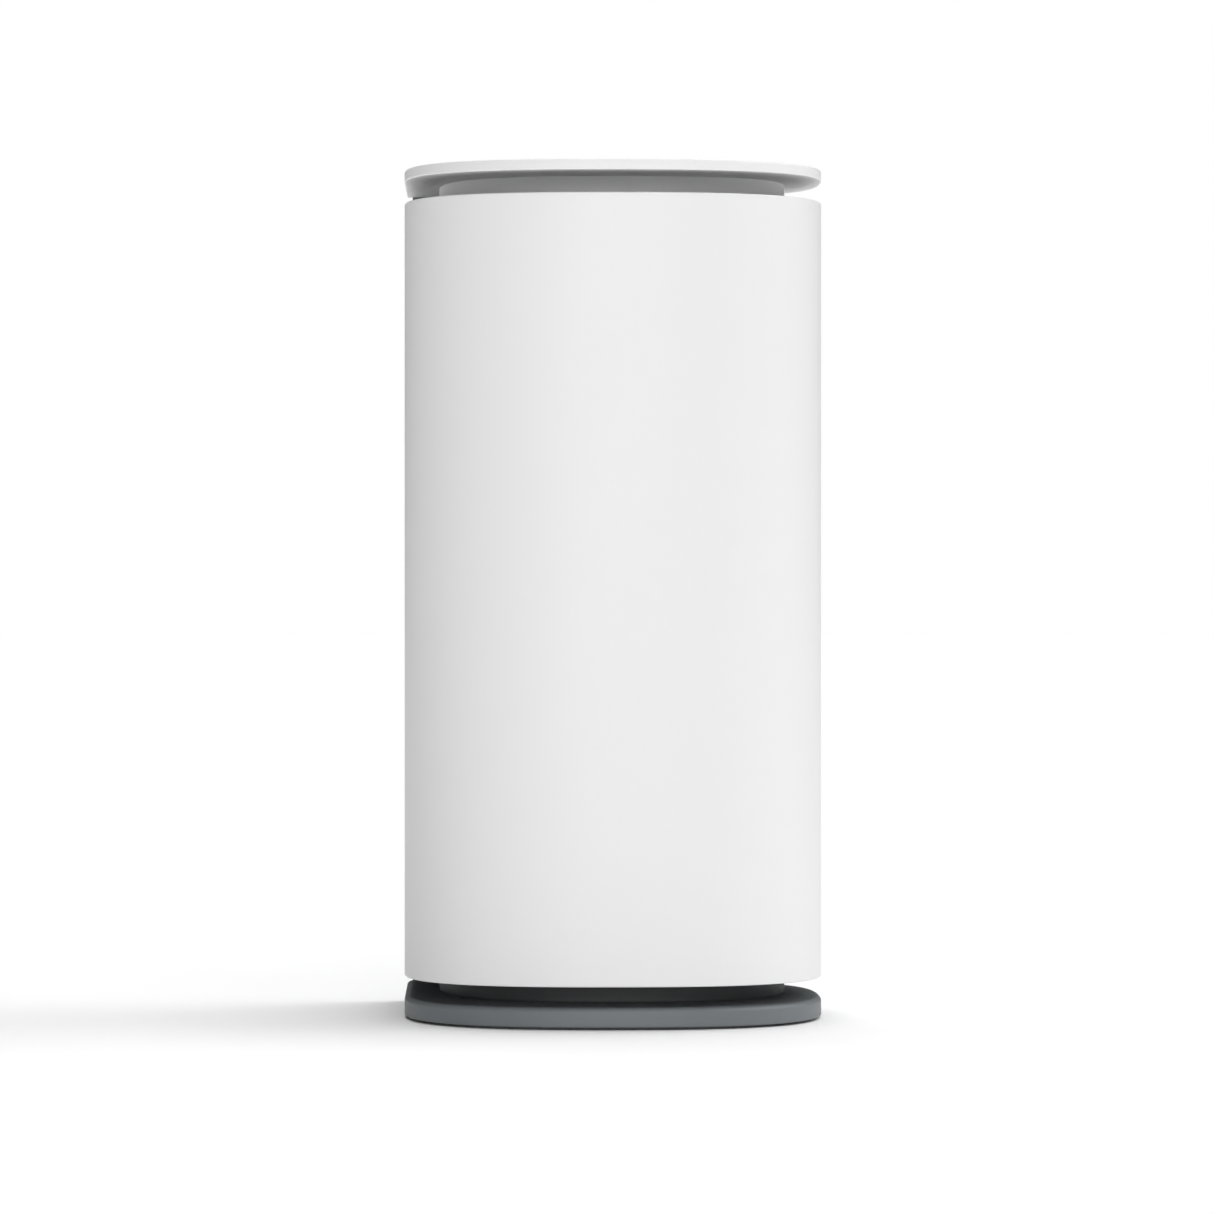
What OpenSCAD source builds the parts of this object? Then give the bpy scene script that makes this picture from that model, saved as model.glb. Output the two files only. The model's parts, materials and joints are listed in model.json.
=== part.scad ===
/* Tower air purifier.
   A white wrap-round shell floats between a thin lid and a slate base.
   Air is drawn in through the rear cover and its filter cassette by a fan on a front-to-back
   axle, and leaves through the channel behind the shell and the open gaps above and below it.
   Front faces -Y, up is +Z, and the origin is on the floor at the middle of the outline. */

/* [Outline] */
// Overall width
body_w = 250; // [240:1:300]
// Overall depth
body_d = 250; // [240:1:300]
// Squareness of the rounded corners, 2 is a plain ellipse
corner_power = 2.6; // [2.4:0.1:3]

/* [Heights] */
// Thickness of the rubber foot pad
foot_h = 1.5; // [1:0.1:3]
// Thickness of the base plate
base_h = 11.5; // [9:0.5:16]
// Open gap between the base and the shell
base_gap = 12; // [10:0.5:20]
// Height of the shell
shell_h = 462; // [385:1:600]
// Open gap between the shell and the lid
lid_gap = 13; // [10:0.5:20]
// Thickness of the lid
lid_h = 6.5; // [6:0.1:10]

/* [Walls and channel] */
// Wall of the shell
shell_wall = 3; // [2:0.1:5]
// Air channel between the shell's sides and the core
side_channel = 17.5; // [12:0.5:22]
// Air channel between the shell's front and the core
front_channel = 51; // [35:1:56]
// Wall of the core housing and the necks
core_wall = 3; // [2.5:0.1:4]
// How far back the core's front rounding runs on the right
core_round_d = 100; // [90:1:115]
// How far back it runs on the left, where the core is rounder
core_left_d = 128; // [100:1:140]
// How far the foot pad sits in from the outline
foot_inset = 6.4; // [4:0.1:12]
// How far the rear panel sits in from the outline
rear_recess = 2.5; // [1.5:0.1:4]
// Wall of the rear panel
rear_wall = 3.5; // [2.5:0.1:5]
// Height of the lower neck above the base plate
neck_low_h = 17; // [14:0.5:20]
// Height of the upper neck below the lid
neck_top_h = 22; // [20:0.5:30]

/* [Filter cassette] */
// Thickness of the filter frame
filter_t = 42; // [30:1:50]
// Rim of the filter frame
filter_rim = 8; // [7:0.5:12]
// Thickness of the carbon pad
carbon_t = 8; // [4:0.5:12]
// Thickness of the washable mesh in front of the filter
mesh_t = 2; // [1:0.5:4]
// Depth of the rear cover behind the filter
cover_depth = 29; // [25:1:35]
// Wall of the rear cover
cover_wall = 3; // [2:0.1:4]
// Number of filter pleats
pleat_count = 26; // [12:1:40]
// Height of the cassette's lower edge above the base plate
bay_lift = 45.5; // [44:0.5:60]
// Distance from the cassette's upper edge to the lid
bay_drop = 44.5; // [40:0.5:60]
// Room beside the filter bay at the rounded rear corner
corner_room = 49; // [45:1:60]
// Wall of the filter bay
bay_wall = 2.5; // [2:0.1:4]
// Width of a slot in the rear cover
slot_w = 4; // [2:0.5:5]
// Pitch of the slots in the rear cover
slot_pitch = 8; // [7:0.5:12]
// Width of the finger pull
pull_w = 56; // [40:1:70]
// Height of the finger pull
pull_h = 18; // [14:1:24]
// Depth of the finger pull
pull_d = 15; // [12:1:18]

/* [Fan] */
// Room between the impeller and the core's side walls
fan_side_room = 26.5; // [24:0.5:40]
// Radius of the fan inlet
inlet_r = 56; // [40:1:58]
// Number of impeller blades
blade_count = 11; // [5:1:13]
// Thickness of a blade
blade_t = 1.8; // [1.2:0.1:3]
// Radius of the impeller hub
hub_r = 13; // [10:0.5:18]
// Radius of the motor can
motor_r = 30; // [22:1:36]
// Length of the motor can in front of its bracket
motor_l = 16; // [12:1:20]
// Radius of the motor shaft
shaft_r = 3; // [2:0.5:4]

/* [Controls] */
// Radius of the power button
button_r = 12.8; // [9:0.1:15]
// How far the power button travels
button_travel = 1.2; // [0.5:0.1:1.5]
// Distance of the power button in front of the middle
button_y = 30; // [20:1:32]
// Width of the light ring
ring_w = 2; // [1:0.1:3]

/* [Hidden] */

$fn = 64;
arc_steps = 24;         // chords in a quarter of the outline
cut = 1;                // how far a cutting tool runs past the face it cuts
fit = 0.1;              // radial clearance of a fixed pin or screw in its hole
run_fit = 0.05;         // radial clearance of the turning shaft
loose = 0.3;            // clearance round pieces that move or are dropped in

// Levels
base_z = foot_h;
base_top_z = base_z + base_h;
neck_low_z = base_top_z + neck_low_h;
shell_z = base_top_z + base_gap;
shell_top_z = shell_z + shell_h;
lid_z = shell_top_z + lid_gap;
lid_top_z = lid_z + lid_h;
neck_top_z = lid_z - neck_top_h;
bay_z = base_top_z + bay_lift;
bay_top_z = lid_z - bay_drop;
fan_z = (bay_z + bay_top_z) / 2;

// Core plan
core_x = body_w / 2 - shell_wall - side_channel;
core_front_y = -body_d / 2 + shell_wall + front_channel;
core_mid_y = core_front_y + core_round_d;
core_left_mid_y = core_front_y + core_left_d;
panel_inset = rear_recess + rear_wall;
panel_in_y = body_d / 2 - panel_inset;
core_back_y = panel_in_y - loose;
panel_right_x = body_w / 2 - corner_room + 8;
panel_left_x = -body_w / 2 + shell_wall + loose;

// Filter stack, from the back forwards
cover_y = body_d / 2 - cover_depth;
frame_y = cover_y - mesh_t - filter_t;
seal_t = 2.7;
bay_floor_t = 3;
bay_floor_y = frame_y - seal_t - loose;
fan_wall_y = bay_floor_y - bay_floor_t;
board_y = fan_wall_y - 26;      // front of the main board
bay_left_x = -(core_x - core_wall - 1 - bay_wall);
bay_right_x = body_w / 2 - corner_room;
frame_gap = 1;          // all-round gap of the cassette in the bay
cover_gap = 0.5;        // all-round gap of the rear cover in the panel
cover_inset = 1;
magnet_r = 4;
magnet_t = 3;
magnet_in = 8;          // magnet centre in from the bay's corner
seal_w = 6;
seal_in = magnet_in + magnet_r + 2;     // seal's outer edge in from the bay
lip_w = magnet_in + magnet_r + 6;       // lip of the frame that carries seal and magnets
lip_t = magnet_t + 1;
pleat_y = frame_y + lip_t;
paper_t = 1.2;
carbon_y = cover_y - mesh_t - carbon_t;
gauze_t = 0.6;
mesh_bar = 2;
mesh_rows = 6;
mesh_columns = 3;

// Rear cover's slots and finger pull
slot_margin = 12;
slot_rows = 3;
slot_rib = 8;
slot_in = 6;            // where the slots start behind the cover's front edge
pull_x = (bay_left_x + bay_right_x) / 2;
pull_top_z = bay_top_z - 12;
pull_low_z = pull_top_z - pull_h;
pull_y = body_d / 2 - cover_inset - pull_d;

// Fan stack, from the fan wall forwards
impeller_r = core_x - core_wall - fan_side_room;
ring_wall = 2;
ring_l = 16;
ring_flange = 10;
fan_gap = 2;
disc_t = 2.5;
hub_gap = 4;
boss_t = 4;
flange_t = 3;
motor_front_room = 8;
shroud_y = fan_wall_y - ring_l - fan_gap - disc_t;
bracket_y = core_front_y + core_wall + motor_front_room + motor_l;
flange_y = bracket_y + flange_t;
boss_y = flange_y + flange_t;
disc_y = boss_y + boss_t + hub_gap;
blade_y = disc_y + disc_t;
hub_l = 22;
nut_t = 5;
nut_r = 7;
post_r = 5;
bush_r = 7;
bush_t = 4;
post_gap = 7.7;
fan_post = (impeller_r + post_gap + post_r) / sqrt(2);
motor_flange_r = motor_r + 8;
motor_bolt_r = motor_r + 4;     // where the motor's fixing screws stand
motor_y = bracket_y - motor_l;
bearing_r = 8;
bearing_t = 5;
boss_r = bearing_r + 4;
shaft_room = 0.5;       // radial room round the shaft inside the motor
shaft_start = 1;        // how far the shaft starts inside the motor's front
shaft_end = 2;          // how far it stands out of the nut
eye_r = inlet_r + ring_wall;
blade_in_r = inlet_r * 0.72;
blade_edge = 1;         // how far the blades stop inside the rim
blade_sweep = 38;
blade_steps = 10;
arm_w = 12;
guard_t = 2;
guard_wire = 1.6;
guard_pitch = 12;

// Outlet vents in the core housing, two rows round the fan
vent_w = 4;
vent_pitch = 8;
vent_near = 20;         // a row's two ends, from the fan's level
vent_far = 146;
vent_half = 28;         // half the width of the front vents
vent_side_y = [core_mid_y - 58, core_mid_y - 26];
wall_reach = 20;        // how far a cutter runs inwards from the core's front

// Shell posts
shell_post_x = 40;
shell_post_y = core_mid_y - 9;
head_side_y = shell_post_y - 5;     // where a side screw's head is nearest to the core's rounding
core_side_x = (core_x - core_wall) * pow(1 - pow((core_left_mid_y - head_side_y)
    / (core_left_d - core_wall), corner_power), 1 / corner_power);
shell_post_end = 55;    // first and last post, from the shell's ends
shell_post_zs = [shell_z + shell_post_end, (shell_z + shell_top_z) / 2,
    shell_top_z - shell_post_end];
side_reach = 12;        // how far a side rod runs into the core
post_hole_l = 10;       // hole in a front post
post_side_hole_l = 8;   // hole in a side post, which is shorter
post_screw_room = 1;    // room at a hole's end
screw_pad = 5.5;        // from the wall's inner face to a head, which clears the rounding
screw_r = 1.5;
screw_head_r = 2.9;
screw_head_t = 2;

// Rear panel fasteners
panel_screw_x = -(core_x - 8.5);
panel_screw_xs = [panel_screw_x, (panel_screw_x - 4) / 2, -4];
panel_screw_zs = [base_top_z + neck_low_h / 2, lid_z - (neck_top_h + 4) / 2];
panel_boss_r = 6;
panel_boss_l = 14;
panel_hole_l = 12;
panel_screw_l = 10;

// Base fasteners
base_screw_r = 1.9;
base_head_r = 3.6;
base_head_t = 2.6;
base_screw_l = base_h + 4;
base_boss_r = 6;
base_boss_h = 9;
neck_floor_t = 3.5;
base_points = [for (x = [-1, 1], y = [core_mid_y - 46, core_mid_y + 46]) [x * (core_x - 18), y]];
ballast_inset = 62;
ballast_t = 5.5;

// Lid fasteners and controls
deck_t = 4;
deck_z = lid_z - deck_t;
lid_points = [for (x = [-1, 1], y = [core_mid_y - 40, core_mid_y + 44]) [x * (core_x - 17), y]];
lid_screw_in = 4;       // how far a lid screw reaches into the lid
button_sink = 0.2;
button_cap_t = 3.8;
button_flange_t = 1.6;
button_flange_w = 2.2;
button_stem_r = 3;
button_top_z = lid_top_z - button_sink;
button_flange_z = button_top_z - button_cap_t - button_flange_t;
button_hole_r = button_r + fit * 2;
button_step_z = button_top_z - button_cap_t + fit * 2;
ring_r = button_r + 2.4;
ring_t = 2;
control_t = 1.6;
control_z = neck_top_z + 8;
control_x = 60;
control_front_y = -button_y - 18;
control_back_y = board_y + 6;   // just behind the ribbon
control_corners = [for (x = [-1, 1], y = [control_front_y + 6, control_back_y - 12])
    [x * (control_x - 5), y]];
control_boss_r = 4;
control_screw_l = 8;
key_w = 6;
key_h = 4;
spring_r = 6.2;
spring_wire = 0.5;
spring_turns = 5;

// Electronics below the fan
board_t = 1.6;
board_x = [-(core_x - core_wall) + 9.5, 40];
board_z = base_top_z + 38.5;
board_h = 85;
board_top_z = board_z + board_h;
board_post_r = 4;
board_post_in = 6;      // post centre in from the board's sides and top
board_post_up = 10;     // and above its lower edge
board_hole_l = 8;
// Blocks on the main board: left, low, right and high edge on the board, and height off it
board_blocks = [[30, 12, 58, 38, 22], [22, 50, 64, 54, 14], [74, 48, 94, 70, 10]];
board_cans = [[70, 22], [90, 22]];
board_can_r = 8;
board_can_h = 20;
ribbon_w = 12;
ribbon_t = 1;
lead_r = 2;
lead_in = 6;            // how far the lead stands inside the motor's radius
lead_x = -(motor_r - lead_in);
lead_y = bracket_y - motor_l / 2;
lead_top_z = fan_z - sqrt(pow(motor_r, 2) - pow(lead_x, 2)) - lead_r - cut;
lead_low_z = (board_top_z + fan_z - impeller_r) / 2;
sensor = [18, 34, 36];
sensor_gap = 4;         // between the board and the sensor
sensor_x = board_x[1] + sensor_gap;
sensor_z = board_z + 12;

// Power inlet, a two-pin mains socket
inlet_x = -78;
inlet_z = base_top_z + 29.5;
inlet_body = [25, 22, 13];
inlet_flange = [31, 2, 17];
inlet_hole = [19.6, 14, 9];
pin_r = 1.2;
pin_pitch = 8.6;
pin_l = 12;

// Points of a rounded quarter about [cx, cy], from one angle to the next
function quarter(cx, cy, rx, ry, from) = [for (i = [0:arc_steps - 1])
    let (t = from + 90 * i / arc_steps)
    [cx + rx * sign(cos(t)) * pow(abs(cos(t)), 2 / corner_power),
     cy + ry * sign(sin(t)) * pow(abs(sin(t)), 2 / corner_power)]];

// Plan with three rounded corners and a square one at the rear left
function plan(rx, front, left_mid, mid, back) = concat(
    quarter(0, left_mid, rx, left_mid - front, 180),
    quarter(0, mid, rx, mid - front, 270),
    quarter(0, mid, rx, back - mid, 0),
    [[0, back], [-rx, back]]);

module prism(points, z0, z1) {
    translate([0, 0, z0]) linear_extrude(z1 - z0) polygon(points);
}

// Everything inside the object's outline, moved in by inset
module outline(inset, z0, z1) {
    prism(plan(body_w / 2 - inset, -body_d / 2 + inset, 0, 0, body_d / 2 - inset), z0, z1);
}

// Everything inside the core's outline, moved in by inset
module core(inset, z0, z1) {
    prism(plan(core_x - inset, core_front_y + inset, core_left_mid_y, core_mid_y,
               core_back_y - inset), z0, z1);
}

module block(low, high) {
    translate(low) cube(high - low);
}

// A cylinder along +Y that starts at y0
module rod_y(r, y0, y1) {
    translate([0, y0, 0]) rotate([-90, 0, 0]) cylinder(r = r, h = y1 - y0);
}

// A cylinder along +X that starts at x0
module rod_x(r, x0, x1) {
    translate([x0, 0, 0]) rotate([0, 90, 0]) cylinder(r = r, h = x1 - x0);
}

// A hollow upright wall of the core
module core_ring(z0, z1) {
    difference() {
        core(0, z0, z1);
        core(core_wall, z0 - cut, z1 + cut);
    }
}

module fan_axis() {
    translate([0, 0, fan_z]) children();
}

module fan_corners() {
    for (x = [-1, 1], z = [-1, 1]) translate([x * fan_post, 0, fan_z + z * fan_post]) children();
}

module bay_corners() {
    for (x = [bay_left_x + magnet_in, bay_right_x - magnet_in],
         z = [bay_z + magnet_in, bay_top_z - magnet_in])
        translate([x, 0, z]) children();
}

module panel_points(z) {
    for (x = panel_screw_xs) translate([x, 0, z]) children();
}

// ---- base ----

module foot_pad() {
    color("dimgray") outline(foot_inset, 0, foot_h);
}

module base_plate() {
    color("slategray") difference() {
        outline(0, base_z, base_top_z);
        outline(ballast_inset - loose, base_z - cut, base_z + ballast_t + loose);
        for (p = base_points) translate([p.x, p.y, 0]) {
            translate([0, 0, base_z - cut]) cylinder(r = base_screw_r + fit, h = base_h + 2 * cut);
            translate([0, 0, base_z - cut]) cylinder(r = base_head_r + loose, h = base_head_t + cut);
        }
    }
}

module ballast_plate() {
    color("silver") outline(ballast_inset, base_z, base_z + ballast_t);
}

module base_screws() {
    color("silver") for (p = base_points) translate([p.x, p.y, base_z]) {
        cylinder(r = base_head_r, h = base_head_t);
        cylinder(r = base_screw_r, h = base_head_t + base_screw_l);
    }
}

module neck_lower() {
    color("slategray") difference() {
        union() {
            core_ring(base_top_z, neck_low_z);
            core(core_wall - cut, base_top_z, base_top_z + neck_floor_t);
            for (p = base_points) translate([p.x, p.y, base_top_z + neck_floor_t - cut])
                cylinder(r = base_boss_r, h = base_boss_h + cut);
            panel_points(panel_screw_zs[0]) rod_y(panel_boss_r, panel_in_y - panel_boss_l, panel_in_y);
        }
        for (p = base_points) translate([p.x, p.y, base_top_z - cut])
            cylinder(r = base_screw_r + fit, h = neck_floor_t + base_boss_h - cut);
        panel_points(panel_screw_zs[0])
            rod_y(screw_r + fit, panel_in_y - panel_hole_l, panel_in_y + cut);
    }
}

// ---- core ----

module vent_rows() {
    for (row = [[fan_z - vent_far, fan_z - vent_near], [fan_z + vent_near, fan_z + vent_far]]) {
        for (x = [-vent_half:vent_pitch:vent_half])
            block([x - vent_w / 2, core_front_y - cut, row[0]],
                  [x + vent_w / 2, core_front_y + wall_reach, row[1]]);
        for (y = [vent_side_y[0]:vent_pitch:vent_side_y[1]])
            block([-core_x - cut, y - vent_w / 2, row[0]], [core_x + cut, y + vent_w / 2, row[1]]);
    }
}

module core_housing() {
    color("gainsboro") difference() {
        core_ring(neck_low_z, neck_top_z);
        block([-core_x + core_wall, frame_y, neck_low_z - cut],
              [bay_right_x + bay_wall + 1.5, body_d, neck_top_z + cut]);
        vent_rows();
        shell_post_holes();
    }
}

module neck_upper() {
    color("gainsboro") difference() {
        union() {
            core_ring(neck_top_z, lid_z);
            core(core_wall - cut, deck_z, lid_z);
            for (p = control_corners) translate([p.x, p.y, control_z + control_t])
                cylinder(r = control_boss_r, h = deck_z - control_z - control_t + cut);
            panel_points(panel_screw_zs[1]) rod_y(panel_boss_r, panel_in_y - panel_boss_l, panel_in_y);
        }
        for (p = lid_points) translate([p.x, p.y, deck_z - cut])
            cylinder(r = screw_r + fit, h = deck_t + 2 * cut);
        for (p = control_corners) translate([p.x, p.y, control_z])
            cylinder(r = screw_r + fit, h = control_screw_l + cut);
        translate([0, -button_y, deck_z - cut])
            cylinder(r = button_r + button_flange_w + 1, h = deck_t + 2 * cut);
        panel_points(panel_screw_zs[1])
            rod_y(screw_r + fit, panel_in_y - panel_hole_l, panel_in_y + cut);
    }
}

// ---- shell ----

module front_shell() {
    color("white") difference() {
        outline(0, shell_z, shell_top_z);
        outline(shell_wall, shell_z - cut, shell_top_z + cut);
        block([-body_w / 2 + shell_wall, 0, shell_z - cut],
              [panel_right_x + loose, body_d, shell_top_z + cut]);
    }
}

// A rod through each post, between the given distances from the centre planes
module shell_rods(r, front0, front1, side0, side1) {
    for (z = shell_post_zs) {
        for (x = [-1, 1]) translate([x * shell_post_x, 0, z]) rod_y(r, front0, front1);
        translate([0, shell_post_y, z]) {
            rod_x(r, side0, side1);
            rod_x(r, -side1, -side0);
        }
    }
}

module shell_post_holes() {
    shell_rods(screw_r + fit, core_front_y - post_hole_l, core_front_y + wall_reach,
               core_x - side_reach, core_x + cut);
}

module shell_posts() {
    color("gainsboro") difference() {
        intersection() {
            shell_rods(post_r, -body_d / 2, core_front_y + wall_reach,
                       core_x - side_reach, body_w / 2);
            difference() {
                outline(shell_wall, shell_z, shell_top_z);
                core(0, shell_z - cut, shell_top_z + cut);
            }
        }
        shell_rods(screw_r + fit, core_front_y - post_hole_l, core_front_y + wall_reach,
                   core_x - side_reach, core_x + post_side_hole_l);
    }
}

module shell_screws() {
    head_y = core_front_y + core_wall + screw_pad;
    head_x = core_side_x - post_screw_room / 2;
    color("silver") {
        shell_rods(screw_r, core_front_y - post_hole_l + post_screw_room, head_y,
                   head_x, core_x + post_side_hole_l - post_screw_room);
        shell_rods(screw_head_r, head_y, head_y + screw_head_t, head_x - screw_head_t, head_x);
    }
}

// ---- lid ----

module lid_plate() {
    color("white") difference() {
        outline(0, lid_z, lid_top_z);
        for (p = lid_points) translate([p.x, p.y, lid_z - cut])
            cylinder(r = screw_r + fit, h = lid_screw_in + cut + fit);
        translate([0, -button_y, lid_z - cut]) cylinder(r = button_hole_r, h = lid_h + 2 * cut);
        translate([0, -button_y, lid_z - cut])
            cylinder(r = button_r + button_flange_w + loose, h = button_step_z - lid_z + cut);
        translate([0, -button_y, lid_top_z - ring_t]) difference() {
            cylinder(r = ring_r + ring_w + run_fit, h = ring_t + cut);
            translate([0, 0, -cut]) cylinder(r = ring_r - run_fit, h = ring_t + 3 * cut);
        }
    }
}

module lid_screws() {
    color("silver") for (p = lid_points) translate([p.x, p.y, 0]) {
        translate([0, 0, deck_z - screw_head_t]) cylinder(r = screw_head_r, h = screw_head_t);
        translate([0, 0, deck_z - screw_head_t])
            cylinder(r = screw_r, h = screw_head_t + deck_t + lid_screw_in);
    }
}

module light_ring() {
    color("lightcyan") translate([0, -button_y, lid_top_z - ring_t]) difference() {
        cylinder(r = ring_r + ring_w, h = ring_t);
        translate([0, 0, -cut]) cylinder(r = ring_r, h = ring_t + 2 * cut);
    }
}

module power_button() {
    stem_z = control_z + control_t + key_h + button_travel + fit;
    color("whitesmoke") translate([0, -button_y, 0]) {
        translate([0, 0, button_flange_z + button_flange_t]) cylinder(r = button_r, h = button_cap_t);
        translate([0, 0, button_flange_z])
            cylinder(r = button_r + button_flange_w, h = button_flange_t);
        translate([0, 0, stem_z]) cylinder(r = button_stem_r, h = button_flange_z - stem_z);
    }
}

module button_spring() {
    spring_z = control_z + control_t + spring_wire / 2;
    spring_h = button_flange_z - spring_z - spring_wire / 2;
    color("silver") translate([0, -button_y, spring_z])
        linear_extrude(spring_h, twist = -360 * spring_turns, slices = 16 * spring_turns, $fn = 8)
            translate([spring_r, 0]) circle(d = 2 * spring_wire, $fn = 8);
}

module control_board() {
    color("darkgreen") difference() {
        block([-control_x, control_front_y, control_z],
              [control_x, control_back_y, control_z + control_t]);
        for (p = control_corners) translate([p.x, p.y, control_z - cut])
            cylinder(r = screw_r + fit, h = control_t + 2 * cut);
    }
}

module control_screws() {
    color("silver") for (p = control_corners) translate([p.x, p.y, control_z - screw_head_t]) {
        cylinder(r = screw_head_r, h = screw_head_t);
        cylinder(r = screw_r, h = screw_head_t + control_screw_l);
    }
}

module key_switch() {
    color("black") translate([-key_w / 2, -button_y - key_w / 2, control_z + control_t])
        cube([key_w, key_w, key_h]);
}

// ---- rear panel and power inlet ----

module rear_panel() {
    color("slategray") difference() {
        intersection() {
            outline(rear_recess, base_top_z, lid_z);
            union() {
                block([panel_left_x, panel_in_y, base_top_z], [0, body_d, lid_z]);
                block([-cut, 0, base_top_z], [panel_right_x, body_d, lid_z]);
            }
        }
        outline(panel_inset, base_top_z - cut, lid_z + cut);
        block([bay_left_x, 0, bay_z], [bay_right_x, body_d, bay_top_z]);
        block([inlet_x - inlet_body.x / 2 - fit, panel_in_y - cut, inlet_z - inlet_body.z / 2 - fit],
              [inlet_x + inlet_body.x / 2 + fit, body_d, inlet_z + inlet_body.z / 2 + fit]);
        for (z = panel_screw_zs) panel_points(z) {
            rod_y(screw_r + fit, panel_in_y - cut, body_d / 2);
            rod_y(screw_head_r + loose, body_d / 2 - rear_recess - screw_head_t, body_d / 2);
        }
    }
}

module panel_screws() {
    head_y = body_d / 2 - rear_recess - screw_head_t;
    color("silver") for (z = panel_screw_zs) panel_points(z) {
        rod_y(screw_head_r, head_y, head_y + screw_head_t);
        rod_y(screw_r, panel_in_y - panel_screw_l, head_y + screw_head_t);
    }
}

module power_inlet() {
    face_y = body_d / 2 - rear_recess;
    mouth_y = face_y + inlet_flange.y;
    color("black") translate([inlet_x, 0, inlet_z]) difference() {
        union() {
            block([-inlet_body.x / 2, face_y - inlet_body.y, -inlet_body.z / 2],
                  [inlet_body.x / 2, face_y, inlet_body.z / 2]);
            block([-inlet_flange.x / 2, face_y, -inlet_flange.z / 2],
                  [inlet_flange.x / 2, mouth_y, inlet_flange.z / 2]);
        }
        block([-inlet_hole.x / 2, mouth_y - inlet_hole.y, -inlet_hole.z / 2],
              [inlet_hole.x / 2, mouth_y + cut, inlet_hole.z / 2]);
    }
}

module inlet_pins() {
    pin_y = body_d / 2 - rear_recess + inlet_flange.y - inlet_hole.y;
    color("gold") for (x = [-1, 1]) translate([inlet_x + x * pin_pitch / 2, 0, inlet_z])
        rod_y(pin_r, pin_y, pin_y + pin_l);
}

// ---- filter bay and cassette ----

module filter_bay() {
    color("lightgray") difference() {
        intersection() {
            outline(panel_inset, bay_z - bay_wall, bay_top_z + bay_wall);
            block([bay_left_x - bay_wall, fan_wall_y, bay_z - bay_wall],
                  [bay_right_x + bay_wall, body_d, bay_top_z + bay_wall]);
        }
        block([bay_left_x, bay_floor_y, bay_z], [bay_right_x, body_d, bay_top_z]);
        fan_axis() rod_y(inlet_r + ring_wall + fit, fan_wall_y - cut, bay_floor_y + cut);
        bay_corners() rod_y(magnet_r + fit, fan_wall_y - cut, bay_floor_y + cut);
    }
}

module bay_magnets() {
    color("silver") bay_corners() rod_y(magnet_r, fan_wall_y, bay_floor_y);
}

module cassette_magnets() {
    color("silver") bay_corners() rod_y(magnet_r, frame_y, frame_y + magnet_t);
}

module filter_seal() {
    inner = seal_in + seal_w;
    color("dimgray") difference() {
        block([bay_left_x + seal_in, frame_y - seal_t, bay_z + seal_in],
              [bay_right_x - seal_in, frame_y, bay_top_z - seal_in]);
        block([bay_left_x + inner, frame_y - seal_t - cut, bay_z + inner],
              [bay_right_x - inner, frame_y + cut, bay_top_z - inner]);
    }
}

// Space inside the filter frame, behind a lip that carries the seal and magnets
module frame_room(lip, y0, y1) {
    block([bay_left_x + frame_gap + lip, y0, bay_z + frame_gap + lip],
          [bay_right_x - frame_gap - lip, y1, bay_top_z - frame_gap - lip]);
}

module filter_frame() {
    color("white") difference() {
        frame_room(0, frame_y, cover_y - mesh_t);
        frame_room(filter_rim, pleat_y, cover_y);
        frame_room(lip_w, frame_y - cut, cover_y);
        bay_corners() rod_y(magnet_r + fit, frame_y - cut, frame_y + magnet_t);
    }
}

// Zigzag sheet of filter paper, folded along upright creases
module pleated_filter() {
    left = bay_left_x + frame_gap + filter_rim;
    right = bay_right_x - frame_gap - filter_rim;
    pitch = (right - left) / pleat_count;
    far = carbon_y - paper_t;
    folds = [for (i = [0:2 * pleat_count]) [left + i * pitch / 2, i % 2 == 0 ? pleat_y : far]];
    back = [for (i = [2 * pleat_count:-1:0]) [folds[i].x, folds[i].y + paper_t]];
    color("snow") prism(concat(folds, back), bay_z + frame_gap + filter_rim,
                        bay_top_z - frame_gap - filter_rim);
}

module carbon_pad() {
    color("black") frame_room(filter_rim, carbon_y, carbon_y + carbon_t);
}

module mesh_screen() {
    window = filter_rim - 1;
    left = bay_left_x + frame_gap + window;
    right = bay_right_x - frame_gap - window;
    low = bay_z + frame_gap + window;
    high = bay_top_z - frame_gap - window;
    w = (right - left - (mesh_columns - 1) * mesh_bar) / mesh_columns;
    h = (high - low - (mesh_rows - 1) * mesh_bar) / mesh_rows;
    color("gray") difference() {
        frame_room(0, cover_y - mesh_t, cover_y);
        for (c = [0:mesh_columns - 1], r = [0:mesh_rows - 1])
            translate([left + c * (w + mesh_bar), cover_y - mesh_t - cut, low + r * (h + mesh_bar)])
                cube([w, mesh_t - gauze_t + cut, h]);
    }
}

module cover_skin(inset, gap, y0) {
    intersection() {
        outline(inset, bay_z + gap, bay_top_z - gap);
        block([bay_left_x + gap, y0, bay_z], [bay_right_x - gap, body_d, bay_top_z]);
    }
}

module pull_room(grow, y0) {
    block([pull_x - pull_w / 2 - grow, y0, pull_low_z - grow],
          [pull_x + pull_w / 2 + grow, body_d, pull_top_z + grow]);
}

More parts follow.
